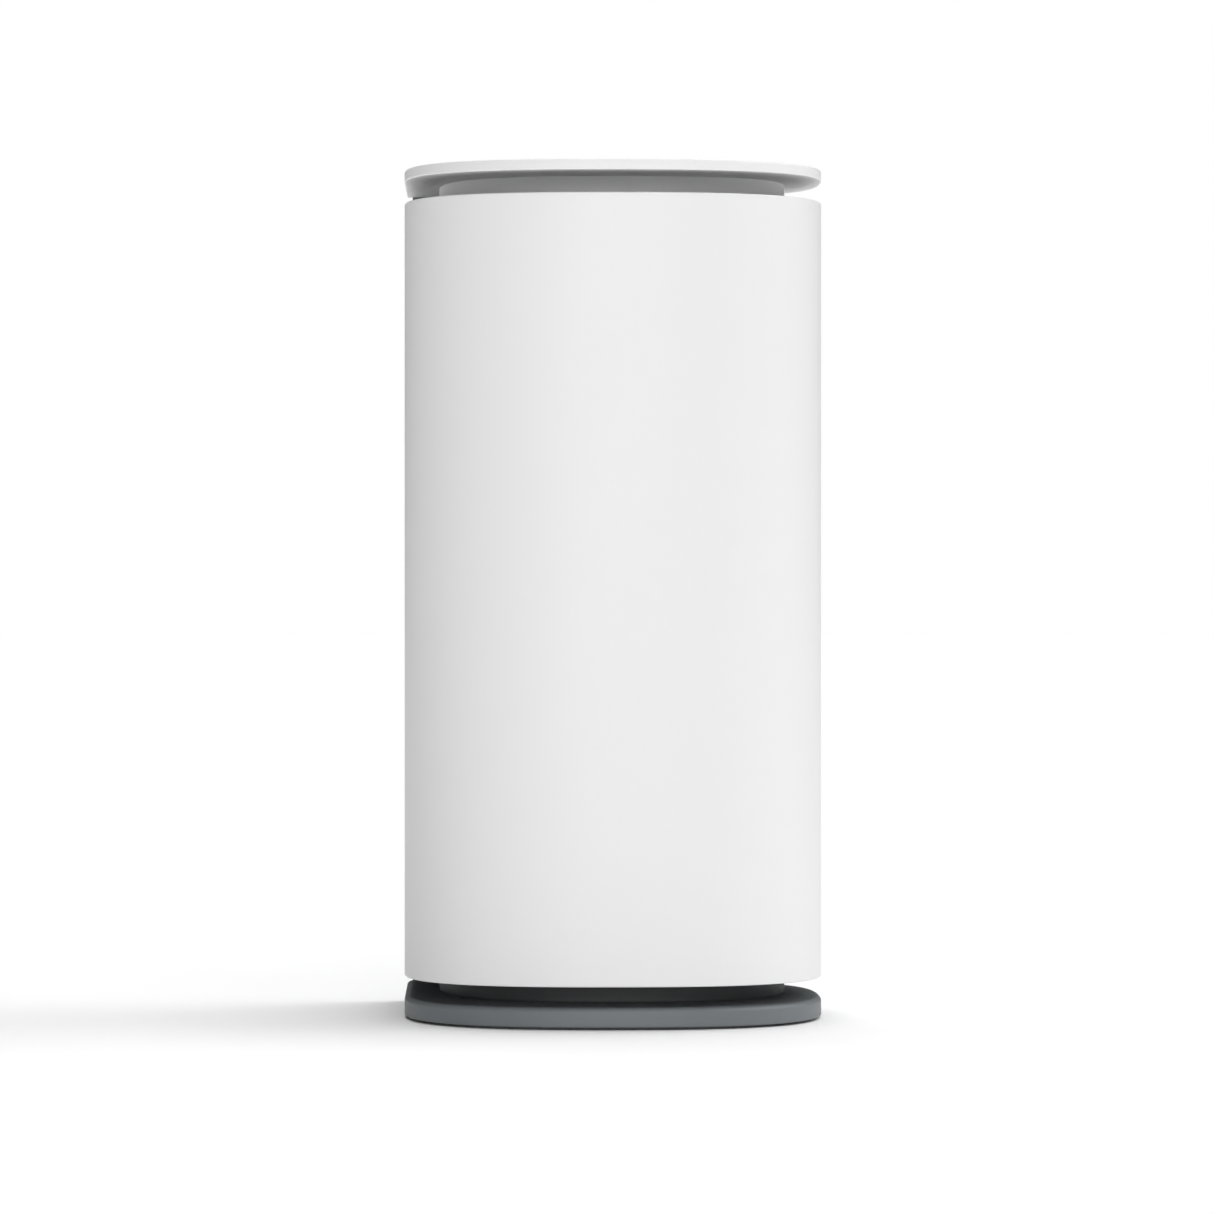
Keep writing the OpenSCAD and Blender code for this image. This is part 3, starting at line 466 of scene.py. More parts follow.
class Bench:
    """Modelling operations on one piece at a time, in the frame's own metres."""

    def __init__(self, palette: Palette) -> None:
        """Sets up the bench with the finishes that it dresses pieces in."""
        self.palette = palette
        self.slots = {row["node"]: row["material_slot"] for row in frame["record"]["subparts"]}

    # -- starting shapes --

    def clear(self) -> None:
        """Deselects every object."""
        for other in bpy.context.selected_objects:
            other.select_set(False)
        bpy.context.view_layer.objects.active = None

    def _started(self, name: str) -> bpy.types.Object:
        """Names the primitive that was just added and moves its place into its mesh."""
        piece = bpy.context.object
        piece.name = name
        piece.data.name = name
        bpy.ops.object.transform_apply(location=True, rotation=True, scale=True)
        return piece

    def loop(self, name: str, points: Sequence[Vector], filled: bool = True) -> bpy.types.Object:
        """Starts from a circle whose points are moved onto an outline.

        Args:
            name: The piece's name.
            points: The outline's points, in order.
            filled: True for a face, False for its edge alone.

        Returns:
            The new piece.
        """
        self.clear()
        bpy.ops.mesh.primitive_circle_add(vertices=len(points), radius=1.0,
                                          fill_type="NGON" if filled else "NOTHING")
        piece = self._started(name)
        for vertex, point in zip(piece.data.vertices, points):
            vertex.co = point
        piece.data.update()
        return piece

    def stack(self, name: str, plan: "Plan", rings: Sequence[Point2]) -> bpy.types.Object:
        """Grows a solid on a plan that is centred on the upright axis.

        Args:
            name: The piece's name.
            plan: Its plan.
            rings: (inset, height) of each ring, from the bottom up.

        Returns:
            The new piece.
        """
        inset, z = rings[0]
        piece = self.loop(name, plan.inset(inset).at(z))
        self.open(piece)
        bpy.ops.mesh.select_all(action="SELECT")
        for next_inset, next_z in rings[1:]:
            bpy.ops.mesh.extrude_region_move(TRANSFORM_OT_translate={"value": (0, 0, next_z - z)})
            factor = (plan.half_width - next_inset) / (plan.half_width - inset)
            bpy.ops.transform.resize(value=(factor, factor, 1), center_override=(0, 0, next_z))
            inset, z = next_inset, next_z
        self.shut()
        self.face_out(piece)
        return piece

    def slab(self, name: str, points: Sequence[Point2], low: float, high: float) -> bpy.types.Object:
        """Pulls an outline up from one height to another."""
        piece = self.loop(name, [Vector((x, y, low)) for x, y in points])
        self.pull(piece, (0, 0, high - low))
        return piece

    def block(self, name: str, low: Sequence[float], high: Sequence[float]) -> bpy.types.Object:
        """Starts from a cube between two corners."""
        self.clear()
        low, high = Vector(low), Vector(high)
        bpy.ops.mesh.primitive_cube_add(size=1.0, location=(low + high) / 2, scale=high - low)
        return self._started(name)

    def rod(self, name: str, radius: float, start: Sequence[float], length: float, axis: Axis,
            sides: int = 48) -> bpy.types.Object:
        """Starts from a cylinder that runs from start along an axis."""
        self.clear()
        way = {Axis.X: Vector((1, 0, 0)), Axis.Y: Vector((0, 1, 0)), Axis.Z: Vector((0, 0, 1))}[axis]
        bpy.ops.mesh.primitive_cylinder_add(vertices=sides, radius=radius, depth=length,
                                            location=Vector(start) + way * (length / 2),
                                            rotation=axis.value)
        return self._started(name)

    def revolve(self, name: str, profile: Sequence[Point2], centre: Sequence[float],
                steps: int = 96) -> bpy.types.Object:
        """Spins a closed profile about an axis along Y.

        Args:
            name: The piece's name.
            profile: (radius, distance along Y) points, in order.
            centre: A point on the axis.
            steps: Steps in the full turn.

        Returns:
            The new piece.
        """
        centre = Vector(centre)
        points = [centre + Vector((r, y, 0)) for r, y in profile]
        piece = self.loop(name, points, filled=False)
        self.open(piece)
        bpy.ops.mesh.select_all(action="SELECT")
        bpy.ops.mesh.spin(steps=steps, angle=2 * math.pi, center=centre, axis=(0, 1, 0), dupli=False)
        bpy.ops.mesh.select_all(action="SELECT")
        bpy.ops.mesh.remove_doubles(threshold=0.002 * MM)
        self.shut()
        self.face_out(piece)
        return piece

    # -- edit mode --

    def open(self, piece: bpy.types.Object) -> None:
        """Opens a piece for editing, with nothing selected."""
        self.clear()
        bpy.context.view_layer.objects.active = piece
        piece.select_set(True)
        bpy.ops.object.mode_set(mode="EDIT")
        bpy.ops.mesh.select_mode(type="EDGE")
        bpy.ops.mesh.select_all(action="DESELECT")

    def shut(self) -> None:
        """Goes back to object mode."""
        bpy.ops.object.mode_set(mode="OBJECT")

    def pick_edges(self, piece: bpy.types.Object, wanted: Callable[[Vector, Vector], bool]) -> None:
        """Selects the edges whose two ends pass a test, in edit mode."""
        shape = bmesh.from_edit_mesh(piece.data)
        for edge in shape.edges:
            edge.select_set(wanted(edge.verts[0].co, edge.verts[1].co))
        shape.select_flush(False)
        bmesh.update_edit_mesh(piece.data)

    def pull(self, piece: bpy.types.Object, move: Sequence[float]) -> None:
        """Extrudes the whole of a flat piece by a vector."""
        self.open(piece)
        bpy.ops.mesh.select_all(action="SELECT")
        bpy.ops.mesh.extrude_region_move(TRANSFORM_OT_translate={"value": tuple(move)})
        self.shut()
        self.face_out(piece)

    def round_edges(self, piece: bpy.types.Object, wanted: Callable[[Vector, Vector], bool],
                    radius: float, segments: int = 4) -> None:
        """Rounds the edges whose two ends pass a test."""
        self.open(piece)
        self.pick_edges(piece, wanted)
        bpy.ops.mesh.bevel(offset=radius, segments=segments, profile=0.5, affect="EDGES")
        self.shut()

    def face_out(self, piece: bpy.types.Object) -> None:
        """Turns every face of a closed piece outwards."""
        self.open(piece)
        bpy.ops.mesh.select_all(action="SELECT")
        bpy.ops.mesh.normals_make_consistent(inside=False)
        self.shut()

    # -- modifiers and booleans --

    def modify(self, piece: bpy.types.Object, kind: str, **settings: object) -> None:
        """Adds a modifier and applies it."""
        self.clear()
        bpy.context.view_layer.objects.active = piece
        piece.select_set(True)
        modifier = piece.modifiers.new(kind, kind)
        for key, value in settings.items():
            setattr(modifier, key, value)
        bpy.ops.object.modifier_apply(modifier=modifier.name)

    def soften(self, piece: bpy.types.Object, radius: float, segments: int = 3,
               angle: float = 35.0) -> None:
        """Rounds every edge that is sharper than an angle in degrees."""
        self.modify(piece, "BEVEL", width=radius, segments=segments, limit_method="ANGLE",
                    angle_limit=math.radians(angle), use_clamp_overlap=True)

    def join(self, piece: bpy.types.Object, *others: bpy.types.Object) -> bpy.types.Object:
        """Joins other pieces into one."""
        self.clear()
        for other in others:
            other.select_set(True)
        piece.select_set(True)
        bpy.context.view_layer.objects.active = piece
        bpy.ops.object.join()
        return piece

    def bool(self, piece: bpy.types.Object, other: bpy.types.Object, operation: str) -> None:
        """Combines another piece with one, and takes the other away."""
        self.modify(piece, "BOOLEAN", operation=operation, object=other, solver="EXACT")
        bpy.data.objects.remove(other)

    def cut(self, piece: bpy.types.Object, *tools: bpy.types.Object) -> None:
        """Cuts tools, which don't cross each other, out of a piece."""
        tool = self.join(*tools) if len(tools) > 1 else tools[0]
        self.bool(piece, tool, "DIFFERENCE")

    def copy(self, piece: bpy.types.Object, name: str, move: Matrix) -> bpy.types.Object:
        """Returns a copy with its own mesh, moved by a matrix."""
        made = piece.copy()
        made.data = piece.data.copy()
        made.name = name
        bpy.context.collection.objects.link(made)
        made.data.transform(move)
        return made

    def twin(self, node: str, name: str) -> bpy.types.Object:
        """Returns a new piece with a CAD node's shape, its doubles merged."""
        made = bpy.data.objects.new(name, frame["nodes"][node].data.copy())
        bpy.context.collection.objects.link(made)
        self.open(made)
        bpy.ops.mesh.select_all(action="SELECT")
        bpy.ops.mesh.remove_doubles(threshold=0.002 * MM)
        self.shut()
        return made

    def repeat(self, piece: bpy.types.Object, moves: Sequence[Matrix]) -> bpy.types.Object:
        """Joins a piece with a copy of it for each matrix."""
        copies = [self.copy(piece, f"{piece.name}_copy", move) for move in moves]
        return self.join(piece, *copies) if copies else piece

    # -- finishing --

    def smooth(self, piece: bpy.types.Object, angle: float = 32.0) -> None:
        """Shades a piece smoothly up to an angle in degrees, with flat faces kept flat."""
        self.clear()
        bpy.context.view_layer.objects.active = piece
        piece.select_set(True)
        bpy.ops.object.shade_smooth_by_angle(angle=math.radians(angle))
        self.modify(piece, "WEIGHTED_NORMAL", keep_sharp=True, weight=60)

    def finish(self, piece: bpy.types.Object, slot: str, body: Body, *nodes: str,
               angle: float = 32.0) -> bpy.types.Object:
        """Shades, dresses and fixes a piece.

        Args:
            piece: The finished mesh.
            slot: The record's material slot.
            body: The body that it rides on.
            nodes: The CAD nodes that it stands for.
            angle: Largest angle in degrees that is shaded smoothly.

        Returns:
            The piece.
        """
        self.smooth(piece, angle)
        self.palette.dress(piece, slot)
        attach(piece, body.value)
        if nodes:
            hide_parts(*nodes)
        log.info("%s: %d faces, %s, on %s", piece.name, len(piece.data.polygons), slot, body.value)
        return piece

    def dress_nodes(self, *nodes: str) -> None:
        """Gives CAD nodes whose shape is right the finish of their slot."""
        for node in nodes:
            self.palette.dress(frame["nodes"][node], self.slots[node])
            log.info("%s: kept, %s", node, self.slots[node])


# ---------------------------------------------------------------------------------------------
# Plan
# ---------------------------------------------------------------------------------------------


@dataclass
class Plan:
    """The purifier's plan: three rounded corners and a square one at the rear left."""

    half_width: float
    front: float
    left_middle: float
    middle: float
    back: float
    power: float = 2.6
    steps: int = 44
    side_steps: int = 6
    corner_radius: float = 0.8 * MM
    corner_steps: int = 4

    @classmethod
    def of(cls, node: str, depths: tuple[float, float] | None = None) -> "Plan":
        """Reads a plan from a CAD node's box.

        Args:
            node: A node that fills the plan.
            depths: Depth of the front rounding on the left and on the right, or None where
                both are half the whole depth.

        Returns:
            The plan.
        """
        low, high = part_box(node)
        left, right = depths or ((high.y - low.y) / 2,) * 2
        return cls(high.x, low.y, low.y + left, low.y + right, high.y)

    def inset(self, amount: float) -> "Plan":
        """Returns the plan moved in by an amount."""
        return replace(self, half_width=self.half_width - amount, front=self.front + amount,
                       back=self.back - amount)

    def _quarter(self, middle: float, end: float, start: float) -> list[Point2]:
        """Returns one rounded quarter from a side's middle to an end, without its last point."""
        depth = abs(end - middle)
        points = []
        for i in range(self.steps):
            turn = start + math.pi / 2 * i / self.steps
            x, y = math.cos(turn), math.sin(turn)
            points.append((math.copysign(abs(x) ** (2 / self.power), x) * self.half_width,
                           middle + math.copysign(abs(y) ** (2 / self.power), y) * depth))
        return points

    def points(self) -> list[Point2]:
        """Returns the outline, anticlockwise from the square rear left corner."""
        radius = self.corner_radius
        turns = [math.pi / 2 * (1 + i / self.corner_steps) for i in range(self.corner_steps)]
        corner = [(radius - self.half_width + radius * math.cos(turn),
                   self.back - radius + radius * math.sin(turn)) for turn in turns]
        side = self.back - radius
        left = [(-self.half_width, side + (self.left_middle - side) * i / self.side_steps)
                for i in range(self.side_steps)]
        rounded = (self._quarter(self.left_middle, self.front, math.pi)
                   + self._quarter(self.middle, self.front, math.pi * 1.5)
                   + self._quarter(self.middle, self.back, 0.0))
        rear = [((radius - self.half_width) * i / self.side_steps, self.back)
                for i in range(self.side_steps)]
        return corner + left + rounded + rear

    def at(self, z: float) -> list[Vector]:
        """Returns the outline's points at a height."""
        return [Vector((x, y, z)) for x, y in self.points()]

    def wrap(self, stop_x: float) -> list[Point2]:
        """Returns the outline from the rear left corner to where it comes back to stop_x."""
        points = self.points()[self.corner_steps:]
        run = [(-self.half_width, self.back)] + points[1:self.side_steps + 2 * self.steps + 1]
        for before, after in zip(points[len(run) - 1:], points[len(run):]):
            if after[0] <= stop_x:
                share = (before[0] - stop_x) / (before[0] - after[0])
                run.append((stop_x, before[1] + (after[1] - before[1]) * share))
                break
            run.append(after)
        return run

    def rear(self, start_x: float, stop_x: float) -> list[Point2]:
        """Returns the back of the outline from start_x on the right to stop_x on the left."""
        points = self.points()[self.corner_steps + self.side_steps + 2 * self.steps:]
        run: list[Point2] = []
        for before, after in zip(points, points[1:] + [(-self.half_width, self.back)]):
            if not run and after[0] <= start_x <= before[0]:
                share = (before[0] - start_x) / (before[0] - after[0])
                run.append((start_x, before[1] + (after[1] - before[1]) * share))
            if run and stop_x < after[0] < start_x:
                run.append(after)
        return run + [(stop_x, self.back)]


def rolled(low: float, high: float, bottom: float, top: float, steps: int = 6,
           run: float = 1.0) -> list[Point2]:
    """Returns the rings of a plate with both edges rounded.

    Args:
        low: Height of its underside.
        high: Height of its top.
        bottom: Radius of the lower edge.
        top: Height of the upper edge's rounding.
        steps: Steps in each rounding.
        run: How many times wider than high the upper rounding is.

    Returns:
        (inset, height) of each ring, from the bottom up.
    """
    turns = [math.pi / 2 * i / steps for i in range(steps + 1)]
    under = [(bottom * (1 - math.sin(t)), low + bottom * (1 - math.cos(t))) for t in turns]
    over = [(run * top * (1 - math.cos(t)), high - top * (1 - math.sin(t))) for t in turns]
    return under + over


def along(axis: Axis) -> Callable[[Vector, Vector], bool]:
    """Returns a test for edges that run along an axis."""
    keep = {Axis.X: 0, Axis.Y: 1, Axis.Z: 2}[axis]
    return lambda a, b: all(abs(a[i] - b[i]) < 0.01 * MM for i in range(3) if i != keep)


def level(z: float, slack: float = 0.05 * MM) -> Callable[[Vector, Vector], bool]:
    """Returns a test for edges that lie at a height."""
    return lambda a, b: abs(a.z - z) < slack and abs(b.z - z) < slack


# ---------------------------------------------------------------------------------------------
# Sub-assemblies
# ---------------------------------------------------------------------------------------------


@dataclass
class Base:
    """Base plate, rubber foot and ballast."""

    bench: Bench
    top_rise: float = 2.8 * MM
    top_run: float = 1.4
    bottom_radius: float = 1.0 * MM
    foot_radius: float = 0.5 * MM

    def build(self) -> None:
        """Models and dresses the base."""
        low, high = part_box("base_plate")
        plan = Plan.of("base_plate")
        plate = self.bench.stack("base_plate_body", plan, rolled(
            low.z, high.z, self.bottom_radius, self.top_rise, 10, self.top_run))
        self.bench.finish(plate, "slate_plastic", Body.ROOT, "base_plate")

        low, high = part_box("foot_pad")
        foot = self.bench.stack("foot_pad_tread", Plan.of("foot_pad"), rolled(
            low.z, high.z, self.foot_radius, 0.05 * MM, 3))
        self.bench.finish(foot, "rubber_dark", Body.ROOT, "foot_pad")
        self.bench.dress_nodes("ballast_plate", "base_screws")


@dataclass
class Core:
    """The core that carries everything: lower neck, housing and upper neck."""

    bench: Bench
    depths: tuple[float, float] = (128 * MM, 100 * MM)
    wall: float = 3 * MM
    floor: float = 3.5 * MM
    deck: float = 4 * MM
    button_room: float = 1 * MM
    bay_lip: float = 6 * MM
    panel_lap: float = 4 * MM
    vent_starts: tuple[float, float] = (-146 * MM, 20 * MM)
    vent_width: float = 4 * MM
    vent_height: float = 126 * MM
    vent_pitch: float = 8 * MM
    vent_reach: float = 21 * MM
    front_vents: int = 8
    side_vents: int = 5
    side_vents_in: float = 42 * MM

    def _tube(self, name: str, node: str, low: float, high: float) -> bpy.types.Object:
        """Returns a hollow upright wall on the core's plan."""
        plan = Plan.of(node, self.depths)
        tube = self.bench.loop(name, plan.at(low))
        self.bench.pull(tube, (0, 0, high - low))
        hollow = self.bench.loop("hollow", plan.inset(self.wall).at(low - MM))
        self.bench.pull(hollow, (0, 0, high - low + 2 * MM))
        self.bench.cut(tube, hollow)
        return tube

    def _plate(self, name: str, node: str, low: float, high: float) -> bpy.types.Object:
        """Returns a plate that fills the core inside its wall."""
        plan = Plan.of(node, self.depths).inset(self.wall * 0.6)
        plate = self.bench.loop(name, plan.at(low))
        self.bench.pull(plate, (0, 0, high - low))
        return plate

    def build(self) -> None:
        """Models and dresses the core."""
        low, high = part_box("neck_lower")
        neck = self._tube("neck_lower_ring", "neck_lower", low.z, high.z)
        self.bench.join(neck, self._plate("floor", "neck_lower", low.z, low.z + self.floor))
        # The lower neck is slate like the base; the darker charcoal finish is painted shade for the dim gap
        # under the shell.
        self.bench.finish(neck, "charcoal_plastic", Body.ROOT, "neck_lower")

        low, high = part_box("neck_upper")
        neck = self._tube("neck_upper_ring", "neck_upper", low.z, high.z)
        deck = self._plate("deck", "neck_upper", high.z - self.deck, high.z - 0.02 * MM)
        button_low, button_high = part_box("power_button")
        centre = (button_low + button_high) / 2
        hole = self.bench.rod("hole", (button_high.x - button_low.x) / 2 + self.button_room,
                              (centre.x, centre.y, high.z - 10 * MM), 20 * MM, Axis.Z, 72)
        self.bench.cut(deck, hole)
        self.bench.join(neck, deck)
        self.bench.finish(neck, "white_shell", Body.ROOT, "neck_upper")

        low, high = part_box("core_housing")
        wall = self._tube("core_wall", "neck_lower", low.z, high.z)
        self._cut_housing(wall)
        self.bench.finish(wall, "light_plastic", Body.ROOT, "core_housing")

    def _cut_housing(self, wall: bpy.types.Object) -> None:
        """Opens the back of the core wall for the filter bay and cuts its vents."""
        low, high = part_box("core_housing")
        panel_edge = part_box("rear_panel")[1].x
        bay_low, bay_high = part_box("filter_bay")
        tools = [self.bench.block("rear_opening",
                                  (low.x + self.wall, bay_low.y + self.bay_lip, low.z - MM),
                                  (panel_edge - self.panel_lap, high.y + 10 * MM, high.z + MM))]
        middle = (bay_low.z + bay_high.z) / 2
        for start in self.vent_starts:
            for i in range(self.front_vents):
                x = (i - (self.front_vents - 1) / 2) * self.vent_pitch
                tools.append(self._vent(x, low.y - MM, middle + start, Axis.Y))
            for side in (low.x - MM, high.x + MM - self.vent_reach):
                for i in range(self.side_vents):
                    y = low.y + self.side_vents_in + i * self.vent_pitch
                    tools.append(self._vent(side, y, middle + start, Axis.X))
        self.bench.cut(wall, *tools)

    def _vent(self, x: float, y: float, z: float, axis: Axis) -> bpy.types.Object:
        """Returns the cutter of one upright vent that runs through the wall along an axis."""
        half, top = self.vent_width / 2, z + self.vent_height
        if axis is Axis.Y:
            low, high = (x - half, y, z), (x + half, y + self.vent_reach, top)
        else:
            low, high = (x, y - half, z), (x + self.vent_reach, y + half, top)
        return self.bench.block("vent", low, high)


@dataclass
class Shell:
    """The white wrap-round shell and the posts that hold it off the core."""

    bench: Bench
    wall: float = 3 * MM
    edge: float = 0.9 * MM

    def build(self) -> None:
        """Models and dresses the shell."""
        low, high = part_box("front_shell")
        plan = Plan.of("front_shell")
        stop_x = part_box("rear_panel")[1].x + 0.3 * MM
        outer = plan.wrap(stop_x)
        inner = plan.inset(self.wall).wrap(stop_x)
        inner[0] = (inner[0][0], outer[0][1])
        band = [Vector((x, y, low.z)) for x, y in outer + inner[::-1]]
        shell = self.bench.loop("shell", band)
        self.bench.pull(shell, (0, 0, high.z - low.z))
        self.bench.round_edges(shell, level(high.z), self.edge, 4)
        self.bench.round_edges(shell, level(low.z), self.edge, 4)
        self.bench.finish(shell, "white_shell", Body.ROOT, "front_shell")
        self.bench.dress_nodes("shell_posts", "shell_screws")


@dataclass
class Lid:
    """The thin lid with its light ring, power button and control board."""

    bench: Bench
    top_radius: float = 1.2 * MM
    bottom_radius: float = 0.8 * MM
    button_travel: float = 1.2 * MM
    flange_width: float = 2.2 * MM
    cap_height: float = 3.8 * MM
    dish_depth: float = 0.5 * MM
    step_height: float = 2.7 * MM
    ring_width: float = 2 * MM
    turns: int = 96

    def build(self) -> None:
        """Models and dresses the lid and its controls."""
        low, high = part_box("lid_plate")
        plan = Plan.of("lid_plate")
        plate = self.bench.stack("lid", plan, rolled(
            low.z, high.z, self.bottom_radius, self.top_radius))
        self._cut_controls(plate)
        self.bench.finish(plate, "white_shell", Body.ROOT, "lid_plate")
        self._button()
        self._ring()
        self._spring()
        self.bench.dress_nodes("lid_screws", "control_board", "control_screws", "key_switch")

    def _cut_controls(self, plate: bpy.types.Object) -> None:
        """Cuts the button's stepped hole and the light ring's groove."""
        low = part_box("lid_plate")[0]
        button_low, button_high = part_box("power_button")
        ring_low, ring_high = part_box("light_ring")
        centre = (button_low + button_high) / 2
        flange = (button_high.x - button_low.x) / 2
        cap = flange - self.flange_width
        hole = self.bench.rod("hole", cap + 0.2 * MM, (centre.x, centre.y, low.z - MM), 12 * MM,
                              Axis.Z, self.turns)
        step = self.bench.rod("step", flange + 0.3 * MM, (centre.x, centre.y, low.z - MM),
                              self.step_height + MM, Axis.Z, self.turns)
        self.bench.cut(plate, hole)
        self.bench.cut(plate, step)
        outer = (ring_high.x - ring_low.x) / 2
        groove = self.bench.rod("groove", outer + 0.05 * MM, (centre.x, centre.y, ring_low.z),
                                5 * MM, Axis.Z, self.turns)
        core = self.bench.rod("core", outer - self.ring_width - 0.05 * MM,
                              (centre.x, centre.y, ring_low.z - MM), 8 * MM, Axis.Z, self.turns)
        self.bench.cut(groove, core)
        self.bench.cut(plate, groove)

    def _button(self) -> None:
        """Models the power button: a dished cap, its flange and its stem."""
        low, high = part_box("power_button")
        centre = Vector(((low.x + high.x) / 2, (low.y + high.y) / 2, 0))
        flange = (high.x - low.x) / 2
        cap = flange - self.flange_width
        cap_z = high.z - self.cap_height
        profile = [(0.0, high.z - self.dish_depth)]
        dish = cap - 1.2 * MM
        profile += [(dish * i / 8, high.z - self.dish_depth * (1 - (i / 8) ** 2))
                    for i in range(1, 9)]
        profile += [(cap - 0.5 * MM, high.z), (cap - 0.12 * MM, high.z - 0.15 * MM),
                    (cap, high.z - 0.5 * MM), (cap, cap_z), (flange, cap_z),
                    (flange, cap_z - 1.6 * MM), (3 * MM, cap_z - 1.6 * MM),
                    (3 * MM, low.z + 0.3 * MM), (2.7 * MM, low.z), (0.0, low.z)]
        button = self._turned("button_cap", profile, centre, self.turns)
        self.bench.finish(button, "white_shell", Body.BUTTON, "power_button")

    def _turned(self, name: str, profile: Sequence[Point2], centre: Vector,
                steps: int) -> bpy.types.Object:
        """Spins an open (radius, height) profile about an upright axis."""
        points = [centre + Vector((r, 0, z)) for r, z in profile]
        piece = self.bench.loop(name, points, filled=False)
        self.bench.open(piece)
        if profile[0][0] == profile[-1][0] == 0.0:
            self.bench.pick_edges(piece, lambda a, b: abs(a.x - centre.x) < 1e-7
                                  and abs(b.x - centre.x) < 1e-7)
            bpy.ops.mesh.delete(type="EDGE")
        bpy.ops.mesh.select_all(action="SELECT")
        bpy.ops.mesh.spin(steps=steps, angle=2 * math.pi, center=centre, axis=(0, 0, 1), dupli=False)
        bpy.ops.mesh.select_all(action="SELECT")
        bpy.ops.mesh.remove_doubles(threshold=0.002 * MM)
        self.bench.shut()
        self.bench.face_out(piece)
        return piece

    def _ring(self) -> None:
        """Models the light ring, with a softly rounded top."""
        low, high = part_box("light_ring")
        centre = Vector(((low.x + high.x) / 2, (low.y + high.y) / 2, 0))
        outer = (high.x - low.x) / 2
        inner, edge = outer - self.ring_width, 0.3 * MM
        profile = [(inner, low.z), (outer, low.z), (outer, high.z - edge),
                   (outer - edge, high.z), (inner + edge, high.z), (inner, high.z - edge)]
        ring = self._turned("light_ring_guide", profile, centre, self.turns)
        self.bench.finish(ring, "light_guide", Body.ROOT, "light_ring")

    def _spring(self) -> None:
        """Makes the coil a piece of its own, with a mesh of its own."""
        coil = self.bench.twin("button_spring", "button_spring_coil")
        self.bench.finish(coil, "steel", Body.ROOT, "button_spring")
        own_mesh(coil)


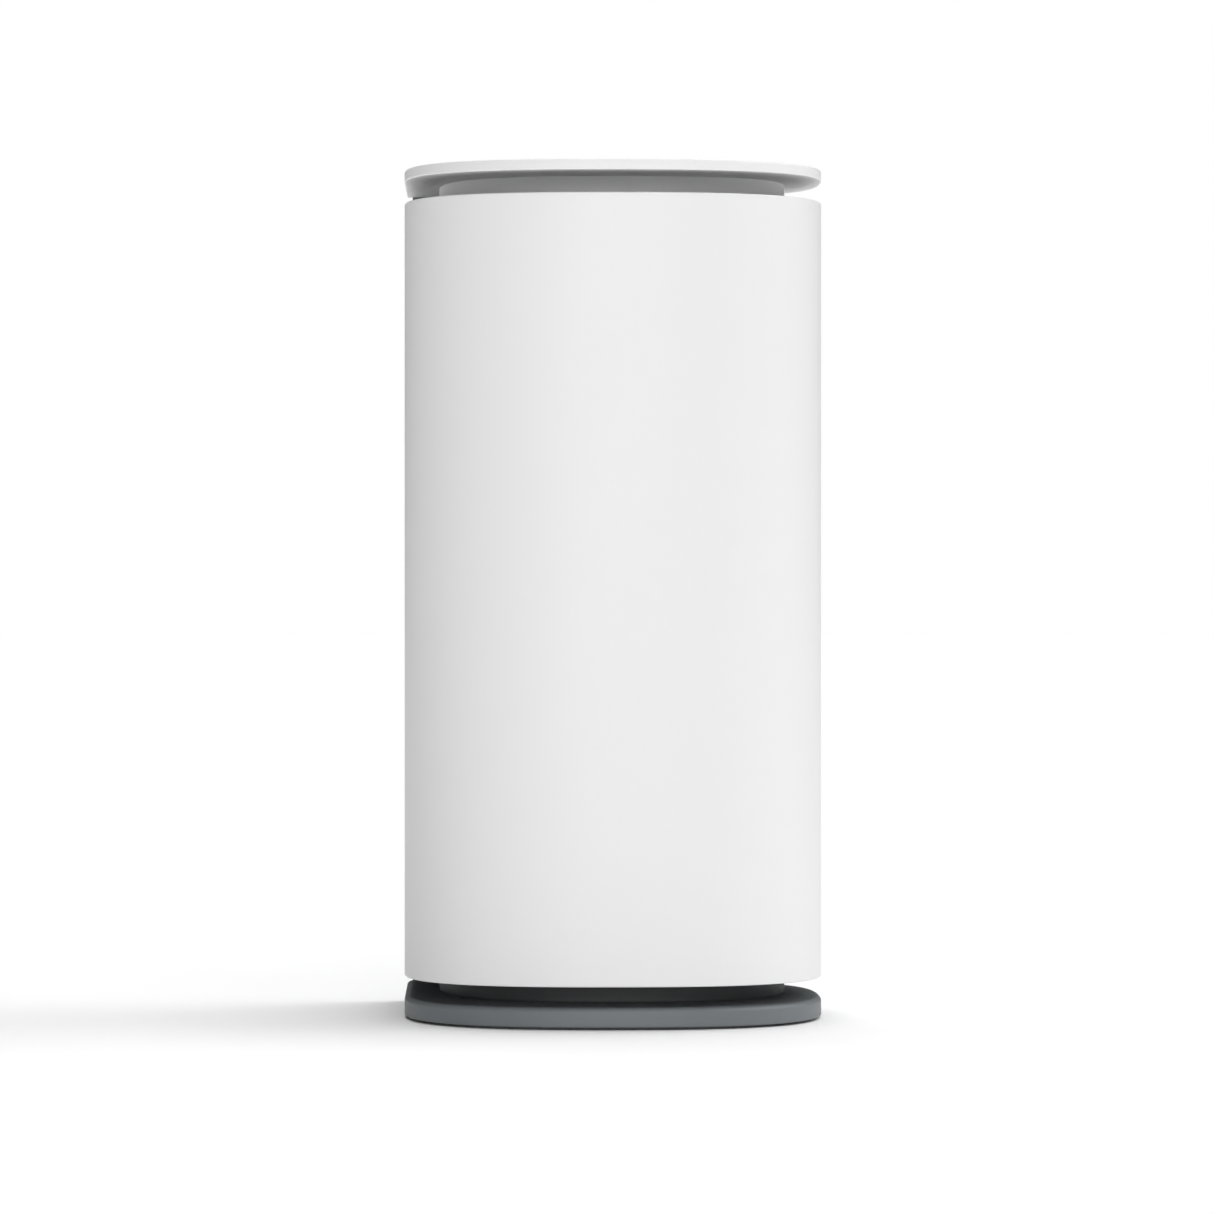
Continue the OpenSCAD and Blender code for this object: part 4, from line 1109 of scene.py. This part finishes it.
@dataclass
class RearPanel:
    """The panel that closes the back, with its screws and its power inlet."""

    bench: Bench
    wall: float = 3.5 * MM
    edge: float = 0.5 * MM
    bay_gap: float = 0.5 * MM
    recess_radius: float = 3.2 * MM
    head_radius: float = 2.9 * MM
    head_depth: float = 2 * MM
    inlet_hole: tuple[float, float, float] = (19.6 * MM, 14 * MM, 9 * MM)

    def build(self) -> None:
        """Models and dresses the panel, the screws and the inlet."""
        self._panel()
        self._screws()
        self._inlet()

    def _screw_places(self) -> list[Vector]:
        """Returns the centres of the six screw heads on the panel's outer face."""
        low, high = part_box("panel_screws")
        xs = (low.x + self.head_radius, (low.x + high.x) / 2, high.x - self.head_radius)
        zs = (low.z + self.head_radius, high.z - self.head_radius)
        return [Vector((x, high.y, z)) for x in xs for z in zs]

    def _panel(self) -> None:
        """Models the panel."""
        low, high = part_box("rear_panel")
        whole = Plan.of("lid_plate")
        plan = whole.inset(whole.back - high.y)
        band = plan.rear(high.x, low.x) + plan.inset(self.wall).rear(high.x, low.x)[::-1]
        panel = self.bench.slab("rear_wall", band, low.z, high.z)
        cover_low, cover_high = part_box("rear_cover")
        gap = self.bay_gap
        window = self.bench.block("window", (cover_low.x - gap, 0, cover_low.z - gap),
                                  (cover_high.x + gap, high.y + 10 * MM, cover_high.z + gap))
        body_low, body_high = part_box("power_inlet")
        flange = 3 * MM
        slot = self.bench.block("slot", (body_low.x + flange, high.y - 10 * MM, body_low.z + flange),
                                (body_high.x - flange, high.y + MM, body_high.z - flange))
        holes = [self.bench.rod("recess", self.recess_radius, place - Vector((0, self.head_depth, 0)),
                                self.head_depth + MM, Axis.Y, 40) for place in self._screw_places()]
        self.bench.cut(panel, window, slot, *holes)
        self.bench.soften(panel, self.edge, 3, 50)
        self.bench.finish(panel, "slate_plastic", Body.ROOT, "rear_panel")

    def _screws(self) -> None:
        """Models one screw with a cross recess and repeats it."""
        places = self._screw_places()
        first = places[0]
        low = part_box("panel_screws")[0]
        head = self.bench.rod("panel_screw_set", self.head_radius,
                              first - Vector((0, self.head_depth, 0)), self.head_depth, Axis.Y, 48)
        self.bench.round_edges(head, lambda a, b: a.y > first.y - 0.01 * MM
                               and b.y > first.y - 0.01 * MM, 0.45 * MM, 3)
        for turn in (0, 1):
            arm, half = (1.7 * MM, 0.45 * MM) if turn else (0.45 * MM, 1.7 * MM)
            bar = self.bench.block("bar", first - Vector((arm, 1.3 * MM, half)),
                                   first + Vector((arm, MM, half)))
            self.bench.cut(head, bar)
        shank = self.bench.rod("shank", 1.5 * MM, (first.x, low.y, first.z),
                               first.y - low.y - 1.5 * MM, Axis.Y, 24)
        self.bench.join(head, shank)
        screws = self.bench.repeat(head, [Matrix.Translation(place - first) for place in places[1:]])
        self.bench.finish(screws, "steel", Body.ROOT, "panel_screws")

    def _inlet(self) -> None:
        """Models the two-pin inlet with its rounded flange, socket and pins."""
        low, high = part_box("power_inlet")
        panel_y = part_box("rear_panel")[1].y
        centre = (low + high) / 2
        flange = self.bench.block("inlet_flange", (low.x, panel_y + 0.02 * MM, low.z), high)
        self.bench.round_edges(flange, along(Axis.Y), 4 * MM, 8)
        inner = 3 * MM
        housing = self.bench.block("housing", (low.x + inner, low.y, low.z + 2 * MM),
                                   (high.x - inner, panel_y + MM, high.z - 2 * MM))
        self.bench.bool(flange, housing, "UNION")
        width, depth, height = self.inlet_hole
        socket = self.bench.block("socket", (centre.x - width / 2, high.y - depth, centre.z - height / 2),
                                  (centre.x + width / 2, high.y + MM, centre.z + height / 2))
        self.bench.round_edges(socket, along(Axis.Y), height * 0.46, 10)
        self.bench.cut(flange, socket)
        self.bench.soften(flange, 0.5 * MM, 3, 50)
        self.bench.finish(flange, "black_plastic", Body.ROOT, "power_inlet")

        low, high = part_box("inlet_pins")
        radius = (high.z - low.z) / 2
        pin = self.bench.rod("inlet_pin_pair", radius, (low.x + radius, low.y, centre.z),
                             high.y - low.y, Axis.Y, 28)
        self.bench.round_edges(pin, lambda a, b: a.y > high.y - 0.01 * MM
                               and b.y > high.y - 0.01 * MM, 0.7 * MM, 4)
        pins = self.bench.repeat(pin, [Matrix.Translation((high.x - low.x - 2 * radius, 0, 0))])
        self.bench.finish(pins, "brass_pins", Body.ROOT, "inlet_pins")


@dataclass
class Electronics:
    """The main board with its parts, the sensor and the cables."""

    bench: Bench

    def build(self) -> None:
        """Dresses the electronics."""
        self.bench.dress_nodes("main_board", "board_posts", "board_parts", "dust_sensor",
                               "ribbon_cable")


@dataclass
class Cassette:
    """The filter cassette: slotted rear cover, gauze, frame, pleats, carbon and seal."""

    bench: Bench
    wall: float = 3 * MM
    edge: float = 1.2 * MM
    slot_width: float = 4 * MM
    slot_pitch: float = 8 * MM
    slot_margin: float = 12 * MM
    slot_rows: int = 3
    slot_rib: float = 8 * MM
    pull_size: tuple[float, float, float] = (56 * MM, 15 * MM, 18 * MM)
    pull_drop: float = 11.5 * MM
    rim: float = 8 * MM
    lip: float = 18 * MM
    lip_depth: float = 4 * MM
    pleats: int = 26
    paper: float = 0.9 * MM
    seal_width: float = 6 * MM

    def build(self) -> None:
        """Models and dresses every piece of the cassette."""
        self._cover()
        self._screen()
        self._frame()
        self._pleats()
        self._pads()
        self.bench.dress_nodes("cassette_magnets", "filter_bay", "bay_magnets")

    def _cover(self) -> None:
        """Models the rear cover: a tray with slots and a finger pull."""
        low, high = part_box("rear_cover")
        whole = Plan.of("lid_plate")
        plan = whole.inset(whole.back - high.y)
        skin = plan.rear(high.x, low.x)
        cover = self.bench.slab("rear_grille", skin + [(low.x, low.y), (high.x, low.y)], low.z, high.z)
        back = [p[1] for p in skin]
        self.bench.round_edges(cover, lambda a, b: min(a.y, b.y) > min(back) - 0.02 * MM,
                               self.edge, 4)
        wall = self.wall
        hollow = plan.inset(wall).rear(high.x - wall, low.x + wall)
        room = self.bench.slab("room", hollow + [(low.x + wall, low.y - MM),
                                                 (high.x - wall, low.y - MM)],
                               low.z + wall, high.z - wall)
        self.bench.cut(cover, room)

        width, depth, height = self.pull_size
        middle = (low.x + high.x) / 2
        top = high.z - self.pull_drop
        floor_y = high.y - depth
        pocket = self.bench.block("pocket", (middle - width / 2 - wall, floor_y - wall, top - height - wall),
                                  (middle + width / 2 + wall, high.y - wall * 0.8, top + wall))
        self.bench.round_edges(pocket, along(Axis.Y), 4 * MM, 4)
        self.bench.bool(cover, pocket, "UNION")
        grip = self.bench.block("grip", (middle - width / 2, floor_y, top - height),
                                (middle + width / 2, high.y + 4 * MM, top))
        self.bench.round_edges(grip, along(Axis.Y), 3.5 * MM, 6)
        self.bench.round_edges(grip, lambda a, b: max(a.y, b.y) < floor_y + 0.01 * MM, 2 * MM, 4)
        self.bench.cut(cover, grip)
        self.bench.cut(cover, *self._slots(low, high, top - height))
        self.bench.soften(cover, 0.45 * MM, 2, 50)
        self.bench.finish(cover, "slate_plastic", Body.CASSETTE, "rear_cover")

    def _slots(self, low: Vector, high: Vector, pull_low: float) -> list[bpy.types.Object]:
        """Returns the cutters of the upright slots.

        Args:
            low: The cover's lowest corner.
            high: The cover's highest corner.
            pull_low: Height of the finger pull's lower edge.

        Returns:
            One cutter for each slot, with rounded ends.
        """
        gap = 0.5 * MM
        count = math.floor((high.x - low.x + 2 * gap - 2 * self.slot_margin) / self.slot_pitch)
        start = (low.x + high.x - count * self.slot_pitch) / 2
        bottom = low.z - gap + self.slot_margin
        top = pull_low - self.slot_margin
        length = (top - bottom - (self.slot_rows - 1) * self.slot_rib) / self.slot_rows
        half = self.slot_width / 2
        slot = self.bench.block("slot", (start - half, low.y + 6 * MM, bottom),
                                (start + half, high.y + MM, bottom + length))
        self.bench.round_edges(slot, along(Axis.Y), half * 0.96, 5)
        moves = [Matrix.Translation((i * self.slot_pitch, 0, row * (length + self.slot_rib)))
                 for i in range(count + 1) for row in range(self.slot_rows) if i or row]
        return [slot] + [self.bench.copy(slot, "slot", move) for move in moves]

    def _screen(self) -> None:
        """Models the gauze in its barred frame."""
        low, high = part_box("mesh_screen")
        frame_edge, bar, columns, rows = 8 * MM, 2 * MM, 3, 6
        screen = self.bench.block("gauze_screen", low, high)
        width = (high.x - low.x - 2 * frame_edge - (columns - 1) * bar) / columns
        height = (high.z - low.z - 2 * frame_edge - (rows - 1) * bar) / rows
        window = self.bench.block("window", (low.x + frame_edge, low.y - MM, low.z + frame_edge),
                                  (low.x + frame_edge + width, high.y - 0.6 * MM,
                                   low.z + frame_edge + height))
        self.bench.round_edges(window, along(Axis.Y), 1.5 * MM, 4)
        moves = [Matrix.Translation((c * (width + bar), 0, r * (height + bar)))
                 for c in range(columns) for r in range(rows) if c or r]
        self.bench.cut(screen, window, *[self.bench.copy(window, "window", m) for m in moves])
        self.bench.soften(screen, 0.3 * MM, 2, 50)
        self.bench.finish(screen, "screen_mesh", Body.CASSETTE, "mesh_screen")

    def _frame(self) -> None:
        """Models the card frame with its lip."""
        low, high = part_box("filter_frame")
        rim, lip = self.rim, self.lip
        card = self.bench.block("card_frame", low, high)
        self.bench.round_edges(card, along(Axis.Y), 1.5 * MM, 4)
        bed = self.bench.block("bed", (low.x + rim, low.y + self.lip_depth, low.z + rim),
                               (high.x - rim, high.y + MM, high.z - rim))
        self.bench.cut(card, bed)
        opening = self.bench.block("opening", (low.x + lip, low.y - MM, low.z + lip),
                                   (high.x - lip, low.y + 2 * self.lip_depth, high.z - lip))
        self.bench.round_edges(opening, along(Axis.Y), 3 * MM, 4)
        self.bench.cut(card, opening)
        magnet_low, magnet_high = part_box("cassette_magnets")
        radius = 4 * MM
        holes = [self.bench.rod("hole", radius + 0.1 * MM, (x, low.y - MM, z),
                                magnet_high.y - low.y + MM, Axis.Y, 40)
                 for x in (magnet_low.x + radius, magnet_high.x - radius)
                 for z in (magnet_low.z + radius, magnet_high.z - radius)]
        self.bench.cut(card, *holes)
        self.bench.soften(card, 0.4 * MM, 2, 50)
        self.bench.finish(card, "filter_card", Body.CASSETTE, "filter_frame")

    def _pleats(self) -> None:
        """Models the pleated paper as one sheet with rounded folds."""
        low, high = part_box("pleated_filter")
        pitch = (high.x - low.x) / self.pleats
        fold = pitch * 0.17
        near, far = low.y + self.paper / 2, high.y - self.paper / 2
        run: list[Point2] = []
        for i in range(2 * self.pleats + 1):
            x = low.x + i * pitch / 2
            y, turn = (near, 1) if i % 2 == 0 else (far, -1)
            steps = range(-3, 4)
            if i == 0:
                steps = range(0, 4)
            elif i == 2 * self.pleats:
                steps = range(-3, 1)
            run += [(x + fold * step / 3, y + turn * fold * 1.6 * (1 - math.cos(step / 3 * 1.2)))
                    for step in steps]
        sheet = self.bench.loop("pleated_paper", [Vector((x, y, low.z)) for x, y in
                                                  run + [(x, y + 0.01 * MM) for x, y in run[::-1]]],
                                filled=False)
        self.bench.open(sheet)
        self.bench.pick_edges(sheet, lambda a, b: True)
        bpy.ops.mesh.select_all(action="SELECT")
        bpy.ops.mesh.remove_doubles(threshold=0.03 * MM)
        bpy.ops.mesh.extrude_region_move(TRANSFORM_OT_translate={"value": (0, 0, high.z - low.z)})
        self.bench.shut()
        self.bench.modify(sheet, "SOLIDIFY", thickness=self.paper, offset=0.0)
        self.bench.face_out(sheet)
        self.bench.finish(sheet, "filter_paper", Body.CASSETTE, "pleated_filter", angle=50)

    def _pads(self) -> None:
        """Models the carbon pad and the foam seal."""
        low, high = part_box("carbon_pad")
        pad = self.bench.block("carbon_mat", low, high)
        self.bench.soften(pad, 1.2 * MM, 4)
        self.bench.finish(pad, "carbon", Body.CASSETTE, "carbon_pad")

        low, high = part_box("filter_seal")
        seal = self.bench.block("foam_seal", low, high)
        self.bench.round_edges(seal, along(Axis.Y), 5 * MM, 6)
        inner = self.seal_width
        gap = self.bench.block("gap", (low.x + inner, low.y - MM, low.z + inner),
                               (high.x - inner, high.y + MM, high.z - inner))
        self.bench.round_edges(gap, along(Axis.Y), 2 * MM, 5)
        self.bench.cut(seal, gap)
        self.bench.soften(seal, 0.8 * MM, 3, 50)
        self.bench.finish(seal, "seal_foam", Body.CASSETTE, "filter_seal")


@dataclass
class Fan:
    """The fan: bellmouth inlet, guard, impeller and nut."""

    bench: Bench
    ring_wall: float = 2 * MM
    disc: float = 2.5 * MM
    blades: int = 11
    blade: float = 1.8 * MM
    sweep: float = 38
    blade_steps: int = 14
    hub_radius: float = 13 * MM
    hub_length: float = 22 * MM
    shaft_radius: float = 3 * MM
    wire: float = 1.6 * MM
    guard_pitch: float = 12 * MM

    def build(self) -> None:
        """Models and dresses the fan."""
        low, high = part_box("fan_impeller")
        self.axis = Vector((0, 0, (low.z + high.z) / 2))
        self._inlet()
        self._guard()
        self._impeller()
        self._nut()
        self.bench.dress_nodes("fan_posts", "fan_bushes", "motor_bracket", "motor_screws",
                               "motor_body", "motor_bearings", "motor_shaft", "motor_lead")

    def _inlet(self) -> None:
        """Models the inlet ring with a bellmouth towards the filter."""
        low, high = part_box("inlet_ring")
        floor_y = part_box("bay_magnets")[0].y
        outer = (high.x - low.x) / 2
        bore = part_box("fan_guard")[1].x + 0.1 * MM
        wall = self.ring_wall
        profile = [(bore, high.y - 0.2 * MM), (bore + 0.3 * MM, high.y), (bore + wall, high.y),
                   (bore + wall, floor_y), (outer - 0.5 * MM, floor_y), (outer, floor_y - 0.5 * MM),
                   (outer, floor_y - 2.5 * MM), (outer - 0.5 * MM, floor_y - 3 * MM)]
        fillet = 4 * MM
        profile += [(bore + wall + fillet * (1 - math.sin(math.pi / 12 * i)),
                     floor_y - 3 * MM - fillet * (1 - math.cos(math.pi / 12 * i))) for i in range(7)]
        profile += [(bore + wall, low.y + 0.6 * MM), (bore + wall * 0.7, low.y),
                    (bore + wall * 0.3, low.y), (bore, low.y + 0.6 * MM)]
        ring = self.bench.revolve("bellmouth", profile, self.axis, 128)
        self.bench.finish(ring, "light_plastic", Body.ROOT, "inlet_ring")

    def _guard(self) -> None:
        """Models the guard: round wire rings joined by spokes."""
        low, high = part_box("fan_guard")
        radius, middle = self.wire / 2, (low.y + high.y) / 2
        rings = []
        reach = high.x
        while reach > self.guard_pitch - self.wire:
            profile = [(reach - radius + radius * math.cos(math.pi / 5 * i),
                        middle + radius * math.sin(math.pi / 5 * i)) for i in range(10)]
            rings.append(self.bench.revolve("guard_ring", profile, self.axis, 80))
            reach -= self.guard_pitch
        guard = self.bench.join(*rings)
        guard.name = "guard_grille"
        spoke = self.bench.rod("spoke", radius * 0.96, (-high.x + radius, middle, self.axis.z),
                               2 * (high.x - radius), Axis.X, 12)
        turns = [self.bench.copy(spoke, "spoke", self._turned(angle)) for angle in (60, 120)]
        self.bench.join(guard, spoke, *turns)
        self.bench.finish(guard, "slate_plastic", Body.ROOT, "fan_guard")

    def _turned(self, degrees: float) -> Matrix:
        """Returns the turn about the fan's axle."""
        return (Matrix.Translation(self.axis) @ Matrix.Rotation(math.radians(degrees), 4, "Y")
                @ Matrix.Translation(-self.axis))

    def _impeller(self) -> None:
        """Models the impeller: disc, hub, shroud and backward-curved blades."""
        low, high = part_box("fan_impeller")
        rim = (high.x - low.x) / 2
        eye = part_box("fan_guard")[1].x + 2.1 * MM
        disc_y = low.y + self.disc
        hub_y = disc_y + self.hub_length
        fillet = 5 * MM
        back = [(self.shaft_radius, low.y), (rim - 0.5 * MM, low.y), (rim, low.y + 0.5 * MM),
                (rim, disc_y - 0.5 * MM), (rim - 0.5 * MM, disc_y)]
        back += [(self.hub_radius + fillet * (1 - math.sin(math.pi / 16 * i)),
                  disc_y + fillet * (1 - math.cos(math.pi / 16 * i))) for i in range(9)]
        back += [(self.hub_radius, hub_y - MM), (self.hub_radius - 0.4 * MM, hub_y - 0.3 * MM),
                 (self.hub_radius - MM, hub_y), (self.shaft_radius, hub_y)]
        impeller = self.bench.revolve("impeller_wheel", back, self.axis, 120)
        front_y = high.y - self.disc
        front = [(eye + 0.6 * MM, front_y), (rim - 0.5 * MM, front_y), (rim, front_y + 0.5 * MM),
                 (rim, high.y - 0.5 * MM), (rim - 0.5 * MM, high.y), (eye + 0.6 * MM, high.y),
                 (eye, high.y - 0.6 * MM), (eye, front_y + 0.6 * MM)]
        shroud = self.bench.revolve("shroud", front, self.axis, 120)
        blade = self._blade(rim, disc_y - MM, front_y + MM)
        blades = self.bench.repeat(blade, [self._turned(360 * i / self.blades)
                                           for i in range(1, self.blades)])
        self.bench.join(impeller, shroud, blades)
        self.bench.finish(impeller, "light_plastic", Body.IMPELLER, "fan_impeller")

    def _blade(self, rim: float, low: float, high: float) -> bpy.types.Object:
        """Returns one blade.

        Args:
            rim: The impeller's radius.
            low: Where the blade starts along the axle.
            high: Where it ends.

        Returns:
            The blade.
        """
        inner = (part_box("fan_guard")[1].x + 0.1 * MM) * 0.72
        outer = rim - MM
        arc = [(inner + (outer - inner) * i / self.blade_steps,
                math.radians(self.sweep) * (i / self.blade_steps) ** 1.25)
               for i in range(self.blade_steps + 1)]
        hollow = [(r, turn) for r, turn in arc]
        solid = [(r, turn + self.blade * self._taper(i) / r) for i, (r, turn) in enumerate(arc)]
        points = [self.axis + Vector((r * math.cos(turn), low, -r * math.sin(turn)))
                  for r, turn in hollow + solid[::-1]]
        blade = self.bench.loop("blade", points)
        self.bench.pull(blade, (0, high - low, 0))
        return blade

    def _taper(self, step: int) -> float:
        """Returns the share of the blade's full thickness at a step from the hub."""
        share = step / self.blade_steps
        return 0.45 + 0.55 * math.sin(math.pi * min(1.0, max(0.0, 0.12 + 0.76 * share)))

    def _nut(self) -> None:
        """Models the nut that holds the impeller, with chamfered corners."""
        low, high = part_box("impeller_nut")
        radius = (high.x - low.x) / 2
        nut = self.bench.rod("axle_nut", radius, (0, low.y, self.axis.z), high.y - low.y, Axis.Y, 6)
        bore = self.bench.rod("bore", self.shaft_radius, (0, low.y - MM, self.axis.z),
                              high.y - low.y + 2 * MM, Axis.Y, 40)
        self.bench.cut(nut, bore)
        self.bench.soften(nut, 0.5 * MM, 2, 40)
        self.bench.finish(nut, "brass_pins", Body.IMPELLER, "impeller_nut")


@dataclass(frozen=True)
class Sun:
    """One broad, distant studio lamp."""

    name: str
    azimuth: float
    height: float
    strength: float
    spread: float


@dataclass
class Studio:
    """Floor, lights and camera."""

    lens: float = 172.9
    distance: float = 3.51
    azimuth: float = -1.2
    eye_height: float = 0.2552
    side_shift: float = -3.3 * MM
    shift_y: float = -16 / 1214
    floor_size: float = 60.0
    floor_tone: float = 0.95
    ambient: float = 0.07
    suns: tuple[Sun, ...] = (
        Sun("low_left", -40, 10, 0.10, 30),
        Sun("low_front", 0, 8, 0.93, 24),
        Sun("high_front", 10, 45, 0.25, 50),
        Sun("high_right", 50, 45, 0.36, 50),
        Sun("right", 104, 38, 1.12, 50),
        Sun("back", 180, 68, 0.54, 50),
        Sun("top", 180, 80, 1.42, 40),
    )

    def build(self) -> None:
        """Sets up the floor, the lights and the camera."""
        self._floor()
        self._world()
        for sun in self.suns:
            self._sun(sun)
        self._camera()
        bpy.context.scene.view_settings.view_transform = "Standard"

    def _floor(self) -> None:
        """Lays the pale floor."""
        bpy.ops.mesh.primitive_plane_add(size=self.floor_size, location=(0, 0, 0))
        floor = bpy.context.object
        floor.name = "floor"
        shader = Shader("floor_paper")
        tone = shader.noise(0.9, 2.0)
        pale = (self.floor_tone,) * 3
        shader.set(Base_Color=shader.blend(tone, shade(pale, 0.995), shade(pale, 1.005)),
                   Roughness=0.95 + 0.05 * (tone - 0.5), Specular_IOR_Level=0.0)
        floor.data.materials.append(shader.material)

    def _world(self) -> None:
        """Gives the room a white backdrop and a dimmer soft ambient light."""
        world = bpy.data.worlds.new("studio_room")
        world.use_nodes = True
        nodes, links = world.node_tree.nodes, world.node_tree.links
        nodes.clear()
        seen = nodes.new("ShaderNodeLightPath").outputs["Is Camera Ray"]
        room = nodes.new("ShaderNodeBackground")
        room.inputs["Strength"].default_value = self.ambient
        backdrop = nodes.new("ShaderNodeBackground")
        backdrop.inputs["Strength"].default_value = 1.0
        for wall in (room, backdrop):
            wall.inputs["Color"].default_value = (1, 1, 1, 1)
        mixed = nodes.new("ShaderNodeMixShader")
        links.new(seen, mixed.inputs[0])
        links.new(room.outputs[0], mixed.inputs[1])
        links.new(backdrop.outputs[0], mixed.inputs[2])
        links.new(mixed.outputs[0], nodes.new("ShaderNodeOutputWorld").inputs["Surface"])
        bpy.context.scene.world = world

    def _sun(self, sun: Sun) -> None:
        """Hangs a broad lamp; azimuth 0 is in front and 90 is on the right, in degrees."""
        data = bpy.data.lights.new(sun.name, "SUN")
        data.energy = sun.strength
        data.angle = math.radians(sun.spread)
        lamp = bpy.data.objects.new(sun.name, data)
        turn, rise = math.radians(sun.azimuth), math.radians(sun.height)
        towards = Vector((math.sin(turn) * math.cos(rise), -math.cos(turn) * math.cos(rise),
                          math.sin(rise)))
        lamp.rotation_euler = towards.to_track_quat("Z", "Y").to_euler()
        bpy.context.collection.objects.link(lamp)

    def _camera(self) -> None:
        """Places the camera level, in front and a little to the left."""
        turn = math.radians(self.azimuth)
        ahead = Vector((-math.sin(turn), math.cos(turn), 0))
        right = Vector((math.cos(turn), math.sin(turn), 0))
        data = bpy.data.cameras.new("camera")
        data.lens = self.lens
        data.sensor_width = 36.0
        data.shift_y = self.shift_y
        camera = bpy.data.objects.new("camera", data)
        camera.location = (right * self.side_shift - ahead * self.distance
                           + Vector((0, 0, self.eye_height)))
        camera.rotation_euler = (math.pi / 2, 0, turn)
        bpy.context.collection.objects.link(camera)
        bpy.context.scene.camera = camera


def main() -> None:
    """Builds the studio and every sub-assembly, and reports each piece."""
    logging.basicConfig(level=logging.INFO, format="%(message)s")
    Studio().build()
    bench = Bench(Palette())
    for assembly in (Base(bench), Core(bench), Shell(bench), Lid(bench), RearPanel(bench),
                     Cassette(bench), Fan(bench), Electronics(bench)):
        assembly.build()


if __name__ == "__main__":
    main()
